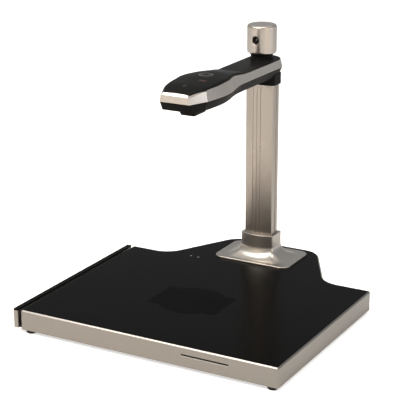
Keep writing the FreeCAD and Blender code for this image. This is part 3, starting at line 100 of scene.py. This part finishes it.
class Nodes:
    """Adds and links the shader nodes of one material."""

    def __init__(self, name):
        self.material = bpy.data.materials.new(name)
        self.material.use_nodes = True
        self.tree = self.material.node_tree
        self.shader = self.tree.nodes["Principled BSDF"]
        self.coords = self.tree.nodes.new("ShaderNodeTexCoord").outputs["Object"]

    def add(self, kind, **values):
        node = self.tree.nodes.new(kind)
        for key, value in values.items():
            setattr(node, key, value)
        return node

    def link(self, source, target):
        self.tree.links.new(source, target)

    def noise(self, scale, detail, stretch=EVEN):
        mapping = self.add("ShaderNodeMapping")
        mapping.inputs["Scale"].default_value = stretch
        self.link(self.coords, mapping.inputs["Vector"])
        node = self.add("ShaderNodeTexNoise")
        node.inputs["Scale"].default_value = scale
        node.inputs["Detail"].default_value = detail
        node.inputs["Roughness"].default_value = NOISE_ROUGHNESS
        self.link(mapping.outputs["Vector"], node.inputs["Vector"])
        return node.outputs["Fac"]

    def span(self, value, low, high, start=NOISE_LOW, stop=NOISE_HIGH):
        """Goes from low to high as the value goes from start to stop."""
        node = self.add("ShaderNodeMapRange")
        node.inputs["From Min"].default_value = start
        node.inputs["From Max"].default_value = stop
        node.inputs["To Min"].default_value = low
        node.inputs["To Max"].default_value = high
        self.link(value, node.inputs["Value"])
        return node.outputs["Result"]

    def past(self, value, start, soft=SOFT):
        return self.span(value, 0.0, 1.0, start, start + soft)

    def short_of(self, value, stop, soft=SOFT):
        return self.span(value, 1.0, 0.0, stop, stop + soft)

    def combine(self, operation, a, b):
        node = self.add("ShaderNodeMath", operation=operation)
        self.link(a, node.inputs[0])
        self.link(b, node.inputs[1])
        return node.outputs["Value"]

    def total(self, a, b):
        return self.combine("ADD", a, b)

    def product(self, first, *others):
        for other in others:
            first = self.combine("MULTIPLY", first, other)
        return first

    def shades(self, value, dark, light):
        node = self.add("ShaderNodeValToRGB")
        low, high = node.color_ramp.elements
        low.position, low.color = NOISE_LOW, (*dark, 1.0)
        high.position, high.color = NOISE_HIGH, (*light, 1.0)
        self.link(value, node.inputs["Fac"])
        return node.outputs["Color"]

    def rounded(self, radius):
        node = self.add("ShaderNodeBevel", samples=BEVEL_SAMPLES)
        node.inputs["Radius"].default_value = radius
        return node.outputs["Normal"]

    def edges(self, rounded):
        """1 along sharp edges, where the rounded normal leaves the true one, 0 on open faces."""
        true = self.add("ShaderNodeNewGeometry").outputs["Normal"]
        node = self.add("ShaderNodeVectorMath", operation="DOT_PRODUCT")
        self.link(rounded, node.inputs[0])
        self.link(true, node.inputs[1])
        return self.span(node.outputs["Value"], 1.0, 0.0, ON_EDGE, ON_FACE)

    def bump(self, height, strength, distance, normal=None):
        node = self.add("ShaderNodeBump")
        node.inputs["Strength"].default_value = strength
        node.inputs["Distance"].default_value = distance
        self.link(height, node.inputs["Height"])
        if normal is not None:
            self.link(normal, node.inputs["Normal"])
        self.link(node.outputs["Normal"], self.shader.inputs["Normal"])

    def axis(self, letter):
        node = self.add("ShaderNodeSeparateXYZ")
        self.link(self.coords, node.inputs["Vector"])
        return node.outputs[letter]

    def distance_from(self, x, y):
        """Distance of the surface from the upright line through x, y."""
        flat = self.add("ShaderNodeVectorMath", operation="MULTIPLY")
        self.link(self.coords, flat.inputs[0])
        flat.inputs[1].default_value = (1.0, 1.0, 0.0)
        node = self.add("ShaderNodeVectorMath", operation="DISTANCE")
        self.link(flat.outputs["Vector"], node.inputs[0])
        node.inputs[1].default_value = (x, y, 0.0)
        return node.outputs["Value"]


def scaled(colour, factor):
    return tuple(min(1.0, c * factor) for c in colour)


FINE_DETAIL = 3.0
SMUDGE_SCALE, SMUDGE_DETAIL = 14.0, 5.0
# Noise that breaks up the painted highlight along edges.
EDGE_HIGHLIGHT_SCALE, EDGE_HIGHLIGHT_DETAIL = 220.0, 4.0
LEAST_EDGE_HIGHLIGHT = 0.45
FLECK_SHARE = 0.4


def surface(
    name, colour, roughness, metallic=0.0, spread=0.06, wander=0.06, grain=1400.0, stretch=EVEN,
    bump=0.15, depth=0.00003, specular=0.5, coat=0.0, coat_roughness=0.1, edge=0.0, edge_highlight=1.25,
    mark=None,
):
    """Finish with a fine grain in colour and height, broad smudges in its gloss and a painted
    highlight along its edges.

    spread and wander are how far colour and roughness stray, edge is the edges' radius, and
    mark(n) gives an amount and the colour that lies over the finish where the amount is 1.
    """
    n = Nodes(name)
    fine = n.noise(grain, FINE_DETAIL, stretch)
    broad = n.noise(SMUDGE_SCALE, SMUDGE_DETAIL)
    tint = n.shades(fine, scaled(colour, 1 - spread), scaled(colour, 1 + spread))
    normal = None
    # Edges rounded in the shading; their colour lightened by edge_highlight is a painted
    # highlight, broken up by noise.
    if edge:
        normal = n.rounded(edge)
        uneven = n.span(n.noise(EDGE_HIGHLIGHT_SCALE, EDGE_HIGHLIGHT_DETAIL), LEAST_EDGE_HIGHLIGHT, 1.0)
        edge_highlight_amount = n.product(n.edges(normal), uneven)
        tint = mix_colours(n.tree, edge_highlight_amount, tint, scaled(colour, edge_highlight))
    if mark:
        amount, over = mark(n)
        tint = mix_colours(n.tree, amount, tint, over)
    n.link(tint, n.shader.inputs["Base Color"])
    gloss = n.span(broad, roughness - wander, roughness + wander)
    fleck = n.span(fine, -wander * FLECK_SHARE, wander * FLECK_SHARE)
    n.link(n.total(gloss, fleck), n.shader.inputs["Roughness"])
    n.bump(fine, bump, depth, normal)
    n.shader.inputs["Metallic"].default_value = metallic
    n.shader.inputs["Specular IOR Level"].default_value = specular
    n.shader.inputs["Coat Weight"].default_value = coat
    n.shader.inputs["Coat Roughness"].default_value = coat_roughness
    return n.material


# Marks: painted shade inside the narrow slots, and a painted highlight ring round the key.
RAIL_SHADOW = (0.004, 0.004, 0.004)
RIM_SHADOW = (0.006, 0.006, 0.006)
RING_HIGHLIGHT_GREY = (0.10, 0.10, 0.102)
GAP_WALL_DEEP = 0.0015  # how far the side that faces the card gap reaches in from the left
FRONT_FACE_DEEP = 0.0006  # how much of that side stays bright at the front
CARD_SLOT_HIGH = 0.0013
SLOT_LEAD = 0.0006  # shaded part of the lead-in above the card slot
SLOT_LIP = 0.0002  # and below it
FACE_SKIN = 0.00005  # thickness that counts as the front face itself
RING_INNER, RING_INNER_SOFT = 0.0062, 0.0006
RING_OUTER, RING_OUTER_SOFT = 0.0078, 0.0005


def rail_gap_shade(n):
    """Painted shade: the floor of the card gap coloured near black, where the narrow gap lies in
    shade.
    """
    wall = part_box("swipe_rail_cap")[1].x
    return n.past(n.axis("X"), wall - SOFT, 2 * SOFT), RAIL_SHADOW


def gap_side_shade(n):
    """Painted shade on the side of the stage that faces the card gap, short of the front face."""
    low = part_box("base_frame")[0]
    beside = n.short_of(n.axis("X"), low.x + GAP_WALL_DEEP)
    behind = n.past(n.axis("Y"), low.y + FRONT_FACE_DEEP)
    return n.product(beside, behind)


def card_slot_shade(n):
    """Painted shade inside the card slot in the stage's front face and on the upper half of its
    lead-in.
    """
    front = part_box("base_frame")[0].y
    low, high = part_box("card_reader_upper")
    bottom = low.z - CARD_SLOT_HIGH - SLOT_LIP
    return n.product(
        n.past(n.axis("Y"), front + FACE_SKIN, FACE_SKIN),
        n.short_of(n.axis("Y"), low.y),
        n.past(n.axis("X"), low.x),
        n.short_of(n.axis("X"), high.x - SOFT),
        n.past(n.axis("Z"), bottom - SOFT),
        n.short_of(n.axis("Z"), low.z + SLOT_LEAD),
    )


# Painted shade, nearly black, in the card gap and the card slot.
def rim_shadows(n):
    return n.total(gap_side_shade(n), card_slot_shade(n)), RIM_SHADOW


def key_ring_highlight(n):
    """Painted highlight: a fine grey ring near the rim of the round key."""
    low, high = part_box("capture_button")
    away = n.distance_from((low.x + high.x) / 2, (low.y + high.y) / 2)
    inner = n.past(away, RING_INNER, RING_INNER_SOFT)
    outer = n.short_of(away, RING_OUTER, RING_OUTER_SOFT)
    return n.product(inner, outer), RING_HIGHLIGHT_GREY


# Named by finish; each goes to surface() as it is.
FINISHES = {
    # metals
    "rim": dict(
        colour=(0.295, 0.281, 0.263), roughness=0.32, metallic=0.95, grain=2600.0, bump=0.12,
        wander=0.04, edge=0.0005, edge_highlight=1.0, mark=rim_shadows,
    ),
    "rail": dict(
        colour=(0.295, 0.281, 0.263), roughness=0.32, metallic=0.6, grain=2600.0, bump=0.12,
        wander=0.04, edge=0.0004, mark=rail_gap_shade,
    ),
    "column_metal": dict(
        colour=(0.42, 0.382, 0.345), roughness=0.29, metallic=1.0, spread=0.03, grain=900.0,
        stretch=(1, 1, 0.015), bump=0.12, wander=0.03, edge=0.0003,
    ),
    "foot_metal": dict(
        colour=(0.53, 0.50, 0.462), roughness=0.29, metallic=1.0, grain=2600.0, bump=0.08,
        wander=0.03, edge=0.0006, edge_highlight=1.15,
    ),
    "band": dict(
        colour=(0.54, 0.493, 0.447), roughness=0.25, metallic=1.0, grain=2600.0, bump=0.10,
        wander=0.03, edge=0.0005, edge_highlight=1.2,
    ),
    "can": dict(
        colour=(0.565, 0.52, 0.477), roughness=0.29, metallic=1.0, grain=1200.0,
        stretch=(1, 1, 0.03), bump=0.12, wander=0.03, edge=0.0004, edge_highlight=1.2,
    ),
    "steel": dict(
        colour=(0.58, 0.57, 0.55), roughness=0.28, metallic=1.0, grain=1600.0, bump=0.1,
    ),
    "zinc": dict(
        colour=(0.42, 0.42, 0.43), roughness=0.5, metallic=0.9, spread=0.2, grain=500.0, bump=0.3,
    ),
    "brass": dict(
        colour=(0.72, 0.52, 0.24), roughness=0.3, metallic=1.0, grain=1500.0, bump=0.1,
    ),
    "gold": dict(
        colour=(0.86, 0.62, 0.25), roughness=0.22, metallic=1.0, grain=1500.0, bump=0.05,
    ),
    # black plastics, rubber and print
    "panel_black": dict(
        colour=(0.0011, 0.0011, 0.0011), roughness=0.22, spread=0.12, wander=0.04, grain=2200.0,
        bump=0.05, specular=0.032,
    ),
    "zone_black": dict(
        colour=(0.0004, 0.0004, 0.0005), roughness=0.35, spread=0.15, wander=0.05, grain=2200.0,
        bump=0.05, specular=0.022,
    ),
    "arm_black": dict(
        colour=(0.0115, 0.0115, 0.0118), roughness=0.34, spread=0.12, wander=0.05, grain=2200.0,
        bump=0.08, specular=0.016,
    ),
    "shell_black": dict(
        colour=(0.0065, 0.0065, 0.0065), roughness=0.46, spread=0.14, wander=0.06, grain=1800.0,
        bump=0.35, specular=0.07,
    ),
    "cover_black": dict(
        colour=(0.014, 0.014, 0.015), roughness=0.55, spread=0.15, grain=1500.0, bump=0.45,
        specular=0.2,
    ),
    "baffle": dict(
        colour=(0.006, 0.006, 0.006), roughness=0.6, spread=0.2, grain=2600.0, bump=0.2,
        specular=0.15,
    ),
    "trim_black": dict(
        colour=(0.012, 0.012, 0.012), roughness=0.3, spread=0.1, grain=1800.0, bump=0.1,
        specular=0.3,
    ),
    "key": dict(
        colour=(0.009, 0.009, 0.009), roughness=0.34, spread=0.1, grain=1800.0, bump=0.1,
        specular=0.1, mark=key_ring_highlight,
    ),
    "print_grey": dict(
        colour=(0.05, 0.05, 0.052), roughness=0.5, spread=0.15, grain=3000.0, bump=0.1,
        specular=0.2,
    ),
    "rubber": dict(
        colour=(0.018, 0.018, 0.018), roughness=0.72, spread=0.2, grain=900.0, bump=0.5,
        depth=0.00006, specular=0.2,
    ),
    "sheath": dict(
        colour=(0.012, 0.012, 0.012), roughness=0.45, spread=0.2, grain=1200.0, bump=0.2,
    ),
    # boards and light plastics
    "board": dict(
        colour=(0.008, 0.075, 0.035), roughness=0.4, spread=0.3, grain=600.0, bump=0.2, coat=0.3,
    ),
    "chip": dict(
        colour=(0.02, 0.02, 0.021), roughness=0.5, spread=0.2, grain=1500.0, bump=0.3,
    ),
    "nylon": dict(
        colour=(0.5, 0.5, 0.47), roughness=0.5, spread=0.08, grain=900.0, bump=0.2,
    ),
    "frosted": dict(
        colour=(0.55, 0.56, 0.57), roughness=0.4, spread=0.08, grain=1200.0, bump=0.2,
    ),
    "lamp": dict(
        colour=(0.16, 0.16, 0.165), roughness=0.35, spread=0.1, grain=1200.0, bump=0.1,
    ),
    # dark glass
    "lens_glass": dict(
        colour=(0.006, 0.007, 0.012), roughness=0.06, spread=0.3, wander=0.03, grain=300.0,
        bump=0.0, coat=1.0, coat_roughness=0.03,
    ),
    "window": dict(
        colour=(0.05, 0.010, 0.010), roughness=0.25, spread=0.2, wander=0.05, grain=900.0,
        bump=0.02, specular=0.1,
    ),
}
MATERIALS = {name: surface(name, **values) for name, values in FINISHES.items()}

# The CAD pieces of each finish.
PAINTED = {
    "rim": ["base_frame"],
    "rail": ["swipe_rail"],
    "column_metal": ["column"],
    "foot_metal": ["column_foot", "column_plug"],
    "band": ["arm_trim_band"],
    "can": ["camera_housing"],
    "panel_black": ["top_panel", "swipe_rail_cap"],
    "zone_black": ["card_zone_film"],
    "arm_black": ["arm_top_panel", "swivel_seat", "housing_cap"],
    "shell_black": [
        "arm_lower_shell", "lens_barrel", "read_head", "card_reader_lower", "card_reader_upper",
        "button_switch",
    ],
    "cover_black": ["bottom_cover"],
    "rubber": ["rubber_feet"],
    "steel": [
        "cover_screws", "rail_screws", "read_head_spring", "usb_socket", "column_bracket",
        "bracket_screws", "foot_screws", "column_screws", "pivot_spindle", "spindle_nut",
        "wave_washer", "shell_screws", "swivel_clip",
    ],
    "zinc": ["weight_plate"],
    "brass": ["bracket_standoffs", "pivot_bush"],
    "gold": ["card_contacts"],
    "board": [
        "antenna_board", "main_board", "status_light_board", "camera_board", "light_boards",
        "control_board", "portrait_board",
    ],
    "chip": ["board_parts"],
    "sheath": ["base_cables", "column_cable", "arm_cable", "portrait_cable"],
    "nylon": ["panel_supports", "friction_washer"],
    "frosted": ["light_windows"],
    "lamp": ["status_light_pipes"],
    "key": ["capture_button"],
    "trim_black": ["lens_bezel", "portrait_lens_bezel"],
    "lens_glass": ["lens_glass", "portrait_lens_glass"],
    "window": ["status_window"],
}


def paint(obj, material):
    obj.data.materials.clear()
    obj.data.materials.append(material)


for finish, names in PAINTED.items():
    for node_name in names:
        paint(NODES[node_name], MATERIALS[finish])

# ---- added detail ----
TURN_STEPS = 72
SHARP_FROM = math.radians(35.0)


def new_piece(name, bm, finish, body):
    bmesh.ops.recalc_face_normals(bm, faces=bm.faces)
    mesh = bpy.data.meshes.new(name)
    bm.to_mesh(mesh)
    bm.free()
    for face in mesh.polygons:
        face.use_smooth = True
    mesh.set_sharp_from_angle(angle=SHARP_FROM)
    piece = bpy.data.objects.new(name, mesh)
    bpy.context.collection.objects.link(piece)
    paint(piece, MATERIALS[finish])
    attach(piece, body)


def add_rings(bm, profile, place):
    """Closed ring: the (radius, height) profile turned round an axis and placed in the frame."""
    turns = []
    for i in range(TURN_STEPS):
        angle = 2 * math.pi * i / TURN_STEPS
        cos, sin = math.cos(angle), math.sin(angle)
        turns.append([bm.verts.new(place(r * cos, r * sin, h)) for r, h in profile])
    for i, near in enumerate(turns):
        far = turns[(i + 1) % TURN_STEPS]
        for j in range(len(profile)):
            k = (j + 1) % len(profile)
            bm.faces.new((near[j], far[j], far[k], near[k]))


def add_prism(bm, outline, low, high, place):
    """Solid of the flat outline's shape, drawn out from low to high along a third direction."""
    near = [bm.verts.new(place(a, b, low)) for a, b in outline]
    far = [bm.verts.new(place(a, b, high)) for a, b in outline]
    bm.faces.new(near)
    bm.faces.new(far)
    for i in range(len(outline)):
        j = (i + 1) % len(outline)
        bm.faces.new((near[i], near[j], far[j], far[i]))


def middle(node):
    low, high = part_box(node)
    return (low + high) / 2


RIDGES = 4
RIDGE_STEP = 0.00028  # how much narrower each ridge starts than the one before it
RIDGE_RISE = 1.6  # height of a ridge, in steps
RIDGE_CREST, RIDGE_END = 0.35, 0.75  # where its crest and its foot lie, in pitches
PORTRAIT_CUP_R = 0.0038
PORTRAIT_CUP_DEPTH = 0.0013
SCAN_CUP_R = 0.0056
SCAN_CUP_DEPTH = 0.0012


def add_lens_baffle(name, body, radius, depth, place):
    """Fine ridges that step down the cup in front of a lens and keep stray light out."""
    bm = bmesh.new()
    pitch = depth / RIDGES
    for i in range(RIDGES):
        outer = radius - i * RIDGE_STEP
        start = i * pitch
        profile = [
            (outer, start),
            (outer - RIDGE_STEP * RIDGE_RISE, start + pitch * RIDGE_CREST),
            (outer, start + pitch * RIDGE_END),
        ]
        add_rings(bm, profile, place)
    new_piece(name, bm, "baffle", body)


def add_lenses():
    glass = middle("portrait_lens_glass")
    cup = Vector((glass.x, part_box("portrait_lens_bezel")[0].y, glass.z))
    add_lens_baffle(
        "portrait_lens_baffle", "portrait_camera", PORTRAIT_CUP_R, PORTRAIT_CUP_DEPTH,
        lambda a, b, h: cup + Vector((a, h, b)),
    )
    glass = middle("lens_glass")
    mouth = Vector((glass.x, glass.y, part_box("lens_barrel")[0].z))
    add_lens_baffle(
        "scan_lens_baffle", "arm", SCAN_CUP_R, SCAN_CUP_DEPTH,
        lambda a, b, h: mouth + Vector((a, b, h)),
    )


LAMP_HALF = 0.0025  # half the width of a lamp window, whose ends are round
RIB_R = 0.00032
RIB_PITCH = 0.0009
RIB_SIDES = 8
RIB_CLEAR = 0.0002  # gap between a rib's end and the window's edge
RIB_SUNK = 0.00005
RIBBED_END = 0.8  # share of the round end that has ribs


def add_light_ribs():
    """Half-round ribs across the underside of the two lamp windows, which spread their light."""
    low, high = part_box("light_windows")
    end = (high.y - low.y) / 2 - LAMP_HALF
    y_mid = (low.y + high.y) / 2
    arc = []
    for i in range(RIB_SIDES + 1):
        angle = math.pi * i / RIB_SIDES
        arc.append((RIB_R * math.cos(angle), -RIB_R * math.sin(angle)))
    count = int((end + LAMP_HALF * RIBBED_END) / RIB_PITCH)
    bm = bmesh.new()
    for x in (low.x + LAMP_HALF, high.x - LAMP_HALF):
        for i in range(-count, count + 1):
            past = max(0.0, abs(i) * RIB_PITCH - end)
            reach = math.sqrt(LAMP_HALF * LAMP_HALF - past * past) - RIB_CLEAR
            y = y_mid + i * RIB_PITCH
            add_prism(
                bm, arc, x - reach, x + reach,
                lambda a, b, c: Vector((c, y + a, low.z + b + RIB_SUNK)),
            )
    new_piece("lamp_window_ribs", bm, "frosted", "arm")


SOCKET_Z = 0.0160
SOCKET_ROOF = 0.0206
TONGUE_HALF = 0.0016
TONGUE_TIP = 0.0052  # from the socket's mouth
TONGUE_ROOT = 0.0055  # from its back
CONTACT_X = 0.0013
CONTACT_HALF = 0.0005
CONTACT_T = 0.00022
CONTACT_BEND = [(-0.0034, 0.0), (-0.0022, 0.00035), (-0.0011, 0.00035), (-0.0003, 0.0)]
LEAF_X = 0.0022
LEAF_HALF = 0.0007
LEAF_T = 0.0002
LEAF_DROP = 0.0001
LEAF_ROOT = [(0.001, -0.00005), (0.003, -0.0001)]  # along y from the tongue's root, down in z
LEAF_BEND = [(0.0005, -0.0007), (0.0018, -0.0005), (0.0028, -0.0001)]  # from the tongue's tip


def strip_outline(points, thickness):
    """Outline of a bent strip: the points' line, given a thickness on one side."""
    back = []
    for i, (y, z) in enumerate(points):
        y0, z0 = points[max(0, i - 1)]
        y1, z1 = points[min(len(points) - 1, i + 1)]
        run = math.hypot(y1 - y0, z1 - z0)
        back.append((y - (z1 - z0) / run * thickness, z + (y1 - y0) / run * thickness))
    return list(points) + back[::-1]


def add_socket_contacts():
    """Four sprung contacts on the data socket's tongue, and two leaves that grip the plug."""
    low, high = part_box("usb_socket")
    x_mid = (low.x + high.x) / 2
    tip = high.y - TONGUE_TIP
    root = low.y + TONGUE_ROOT

    line = [(root, TONGUE_HALF)] + [(tip + y, TONGUE_HALF + z) for y, z in CONTACT_BEND]
    shape = strip_outline(line, CONTACT_T)
    bm = bmesh.new()
    for side in (-1.0, 1.0):
        for dx in (-CONTACT_X, CONTACT_X):
            add_prism(
                bm, shape, x_mid + dx - CONTACT_HALF, x_mid + dx + CONTACT_HALF,
                lambda y, z, x: Vector((x, y, SOCKET_Z + side * z)),
            )
    new_piece("socket_contacts", bm, "gold", "base")

    line = [(root + y, z) for y, z in LEAF_ROOT] + [(tip + y, z) for y, z in LEAF_BEND]
    shape = strip_outline(line, LEAF_T)
    bm = bmesh.new()
    for dx in (-LEAF_X, LEAF_X):
        add_prism(
            bm, shape, x_mid + dx - LEAF_HALF, x_mid + dx + LEAF_HALF,
            lambda y, z, x: Vector((x, y, SOCKET_ROOF + z - LEAF_DROP)),
        )
    new_piece("socket_leaves", bm, "steel", "base")


MARK_RINGS = [(0.0022, 0.0017), (0.0007, 0.0001)]  # outer and inner radius of the ring and dot
MARK_PROUD = 0.00006
MARK_EDGE = 0.6  # height of the print's outer edge, as a share of its full height
MARK_FROM_FRONT = 0.019
RAY_FROM = 0.01  # above the panel's top


def add_front_mark():
    """Small ring with a dot, printed on the crowned panel near the front of the arm."""
    panel = NODES["arm_top_panel"].data
    tree = BVHTree.FromPolygons(
        [v.co for v in panel.vertices], [p.vertices for p in panel.polygons]
    )
    low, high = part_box("arm_top_panel")
    x_mid, y_mid = (low.x + high.x) / 2, low.y + MARK_FROM_FRONT
    down = Vector((0.0, 0.0, -1.0))

    def on_panel(a, b, h):
        hit = tree.ray_cast(Vector((x_mid + a, y_mid + b, high.z + RAY_FROM)), down)[0]
        return hit + Vector((0.0, 0.0, h))

    bm = bmesh.new()
    for outer, inner in MARK_RINGS:
        profile = [
            (outer, -MARK_PROUD), (outer, MARK_PROUD * MARK_EDGE),
            (inner, MARK_PROUD), (inner, -MARK_PROUD),
        ]
        add_rings(bm, profile, on_panel)
    new_piece("arm_front_mark", bm, "print_grey", "arm")


add_lenses()
add_light_ribs()
add_socket_contacts()
add_front_mark()

# ---- studio ----
# The camera sees an even white; the object sees a dimmer room, warm at the front left.
scene = bpy.context.scene
scene.view_settings.view_transform = "Standard"

FLOOR_HALF = 8.0
FLOOR_COLOUR = (0.9, 0.9, 0.9)
FLOOR_SEEN = (0.62, 0.62, 0.62)
FLOOR_WARM = (0.16, 0.09, 0.04)
DARK = (0.0, 0.0, 0.0)
FLOOR_TURN = (-0.25, 0.25)  # metres along the diagonal over which the warm glow ends
FLOOR_FADE = (0.35, 0.8)  # metres from the origin over which it ends
SKY_WARM = (0.55, 0.49, 0.36)
SKY_COOL = (0.54, 0.575, 0.60)
SKY_HIGH = (0.378, 0.378, 0.378)
SKY_SEEN = (1.0, 1.0, 1.0)
SKY_TURN = (-0.6, 0.6)
SKY_RISE = (0.10, 0.26)
DIAGONAL = (0.7071, 0.7071, 0.0)

# name, place, point it faces, size in metres, radiance
SOFTBOXES = [
    ("overhead", (-0.3, -0.4, 2.6), (-0.3, -0.4, 0.0), (5.0, 5.0), (0.45, 0.42, 0.38)),
    ("top", (-0.50, -1.05, 1.60), (-0.10, 0.1, 0.1), (1.5, 0.75), (5.4, 5.1, 4.7)),
    ("corner", (0.45, -0.30, 1.70), (0.0, 0.1, 0.0), (0.55, 0.45), (5.0, 4.8, 4.4)),
    ("top_front", (-0.4, -1.2, 1.7), (0.0, 0.1, 0.0), (1.2, 0.8), (2.3, 2.15, 2.0)),
    ("low_left", (-0.9, -2.0, 0.9), (0.0, 0.0, 0.15), (1.4, 1.2), (0.66, 0.58, 0.50)),
    ("low_front", (-0.55, -2.0, 0.3), (0.0, 0.0, 0.2), (1.0, 0.5), (0.62, 0.42, 0.30)),
    ("right_front", (1.9, -0.7, 0.6), (0.0, 0.0, 0.2), (1.1, 1.0), (1.5, 1.15, 0.75)),
    ("side", (1.9, 0.6, 0.45), (0.0, 0.0, 0.2), (0.9, 0.6), (1.60, 1.65, 1.75)),
]


def ramp(tree, value, span):
    """0 to 1, smoothly, as the value goes over the span."""
    node = tree.nodes.new("ShaderNodeMapRange")
    node.interpolation_type = "SMOOTHSTEP"
    node.inputs["From Min"].default_value, node.inputs["From Max"].default_value = span
    tree.links.new(value, node.inputs["Value"])
    return node.outputs["Result"]


def along_diagonal(tree, coords):
    """How far a place or direction lies to the right and rear, away from the warm side."""
    node = tree.nodes.new("ShaderNodeVectorMath")
    node.operation = "DOT_PRODUCT"
    node.inputs[1].default_value = DIAGONAL
    tree.links.new(coords, node.inputs[0])
    return node.outputs["Value"]


def seen_as(tree, colour, shown):
    """The colour, but shown as another one where the camera looks straight at it."""
    straight = tree.nodes.new("ShaderNodeLightPath").outputs["Is Camera Ray"]
    return mix_colours(tree, straight, colour, shown)


def add_world():
    """Pale band round the horizon, warm at the front left, cool at the rear, greyer overhead."""
    world = bpy.data.worlds.new("studio")
    world.use_nodes = True
    tree = world.node_tree
    coords = tree.nodes.new("ShaderNodeTexCoord").outputs["Generated"]
    split = tree.nodes.new("ShaderNodeSeparateXYZ")
    tree.links.new(coords, split.inputs["Vector"])
    turn = ramp(tree, along_diagonal(tree, coords), SKY_TURN)
    band = mix_colours(tree, turn, SKY_WARM, SKY_COOL)
    sky = mix_colours(tree, ramp(tree, split.outputs["Z"], SKY_RISE), band, SKY_HIGH)
    tree.links.new(seen_as(tree, sky, SKY_SEEN), tree.nodes["Background"].inputs["Color"])
    scene.world = world


def add_floor():
    """Pale floor with a faint warm glow near the front left."""
    half = FLOOR_HALF
    mesh = bpy.data.meshes.new("floor")
    corners = [(-half, -half, 0), (half, -half, 0), (half, half, 0), (-half, half, 0)]
    mesh.from_pydata(corners, [], [(0, 1, 2, 3)])
    floor = bpy.data.objects.new("floor", mesh)
    bpy.context.collection.objects.link(floor)
    finish = surface("floor_paint", FLOOR_COLOUR, 0.9, spread=0.01, bump=0.0, specular=0.0)
    tree = finish.node_tree
    coords = tree.nodes.new("ShaderNodeTexCoord").outputs["Object"]
    length = tree.nodes.new("ShaderNodeVectorMath")
    length.operation = "LENGTH"
    tree.links.new(coords, length.inputs[0])
    turn = ramp(tree, along_diagonal(tree, coords), FLOOR_TURN)
    near = mix_colours(tree, turn, FLOOR_WARM, DARK)
    glow = mix_colours(tree, ramp(tree, length.outputs["Value"], FLOOR_FADE), near, DARK)
    shader = tree.nodes["Principled BSDF"]
    shader.inputs["Emission Strength"].default_value = 1.0
    tree.links.new(seen_as(tree, glow, FLOOR_SEEN), shader.inputs["Emission Color"])
    paint(floor, finish)


def add_softbox(name, at, aim, size, radiance):
    strongest = max(radiance)
    data = bpy.data.lights.new(name, "AREA")
    data.shape = "RECTANGLE"
    data.size, data.size_y = size
    data.energy = strongest * math.pi * size[0] * size[1]
    data.color = tuple(part / strongest for part in radiance)
    light = bpy.data.objects.new(name, data)
    light.location = at
    light.rotation_euler = (Vector(aim) - Vector(at)).to_track_quat("-Z", "Y").to_euler()
    bpy.context.collection.objects.link(light)


add_world()
add_floor()
for softbox in SOFTBOXES:
    add_softbox(*softbox)
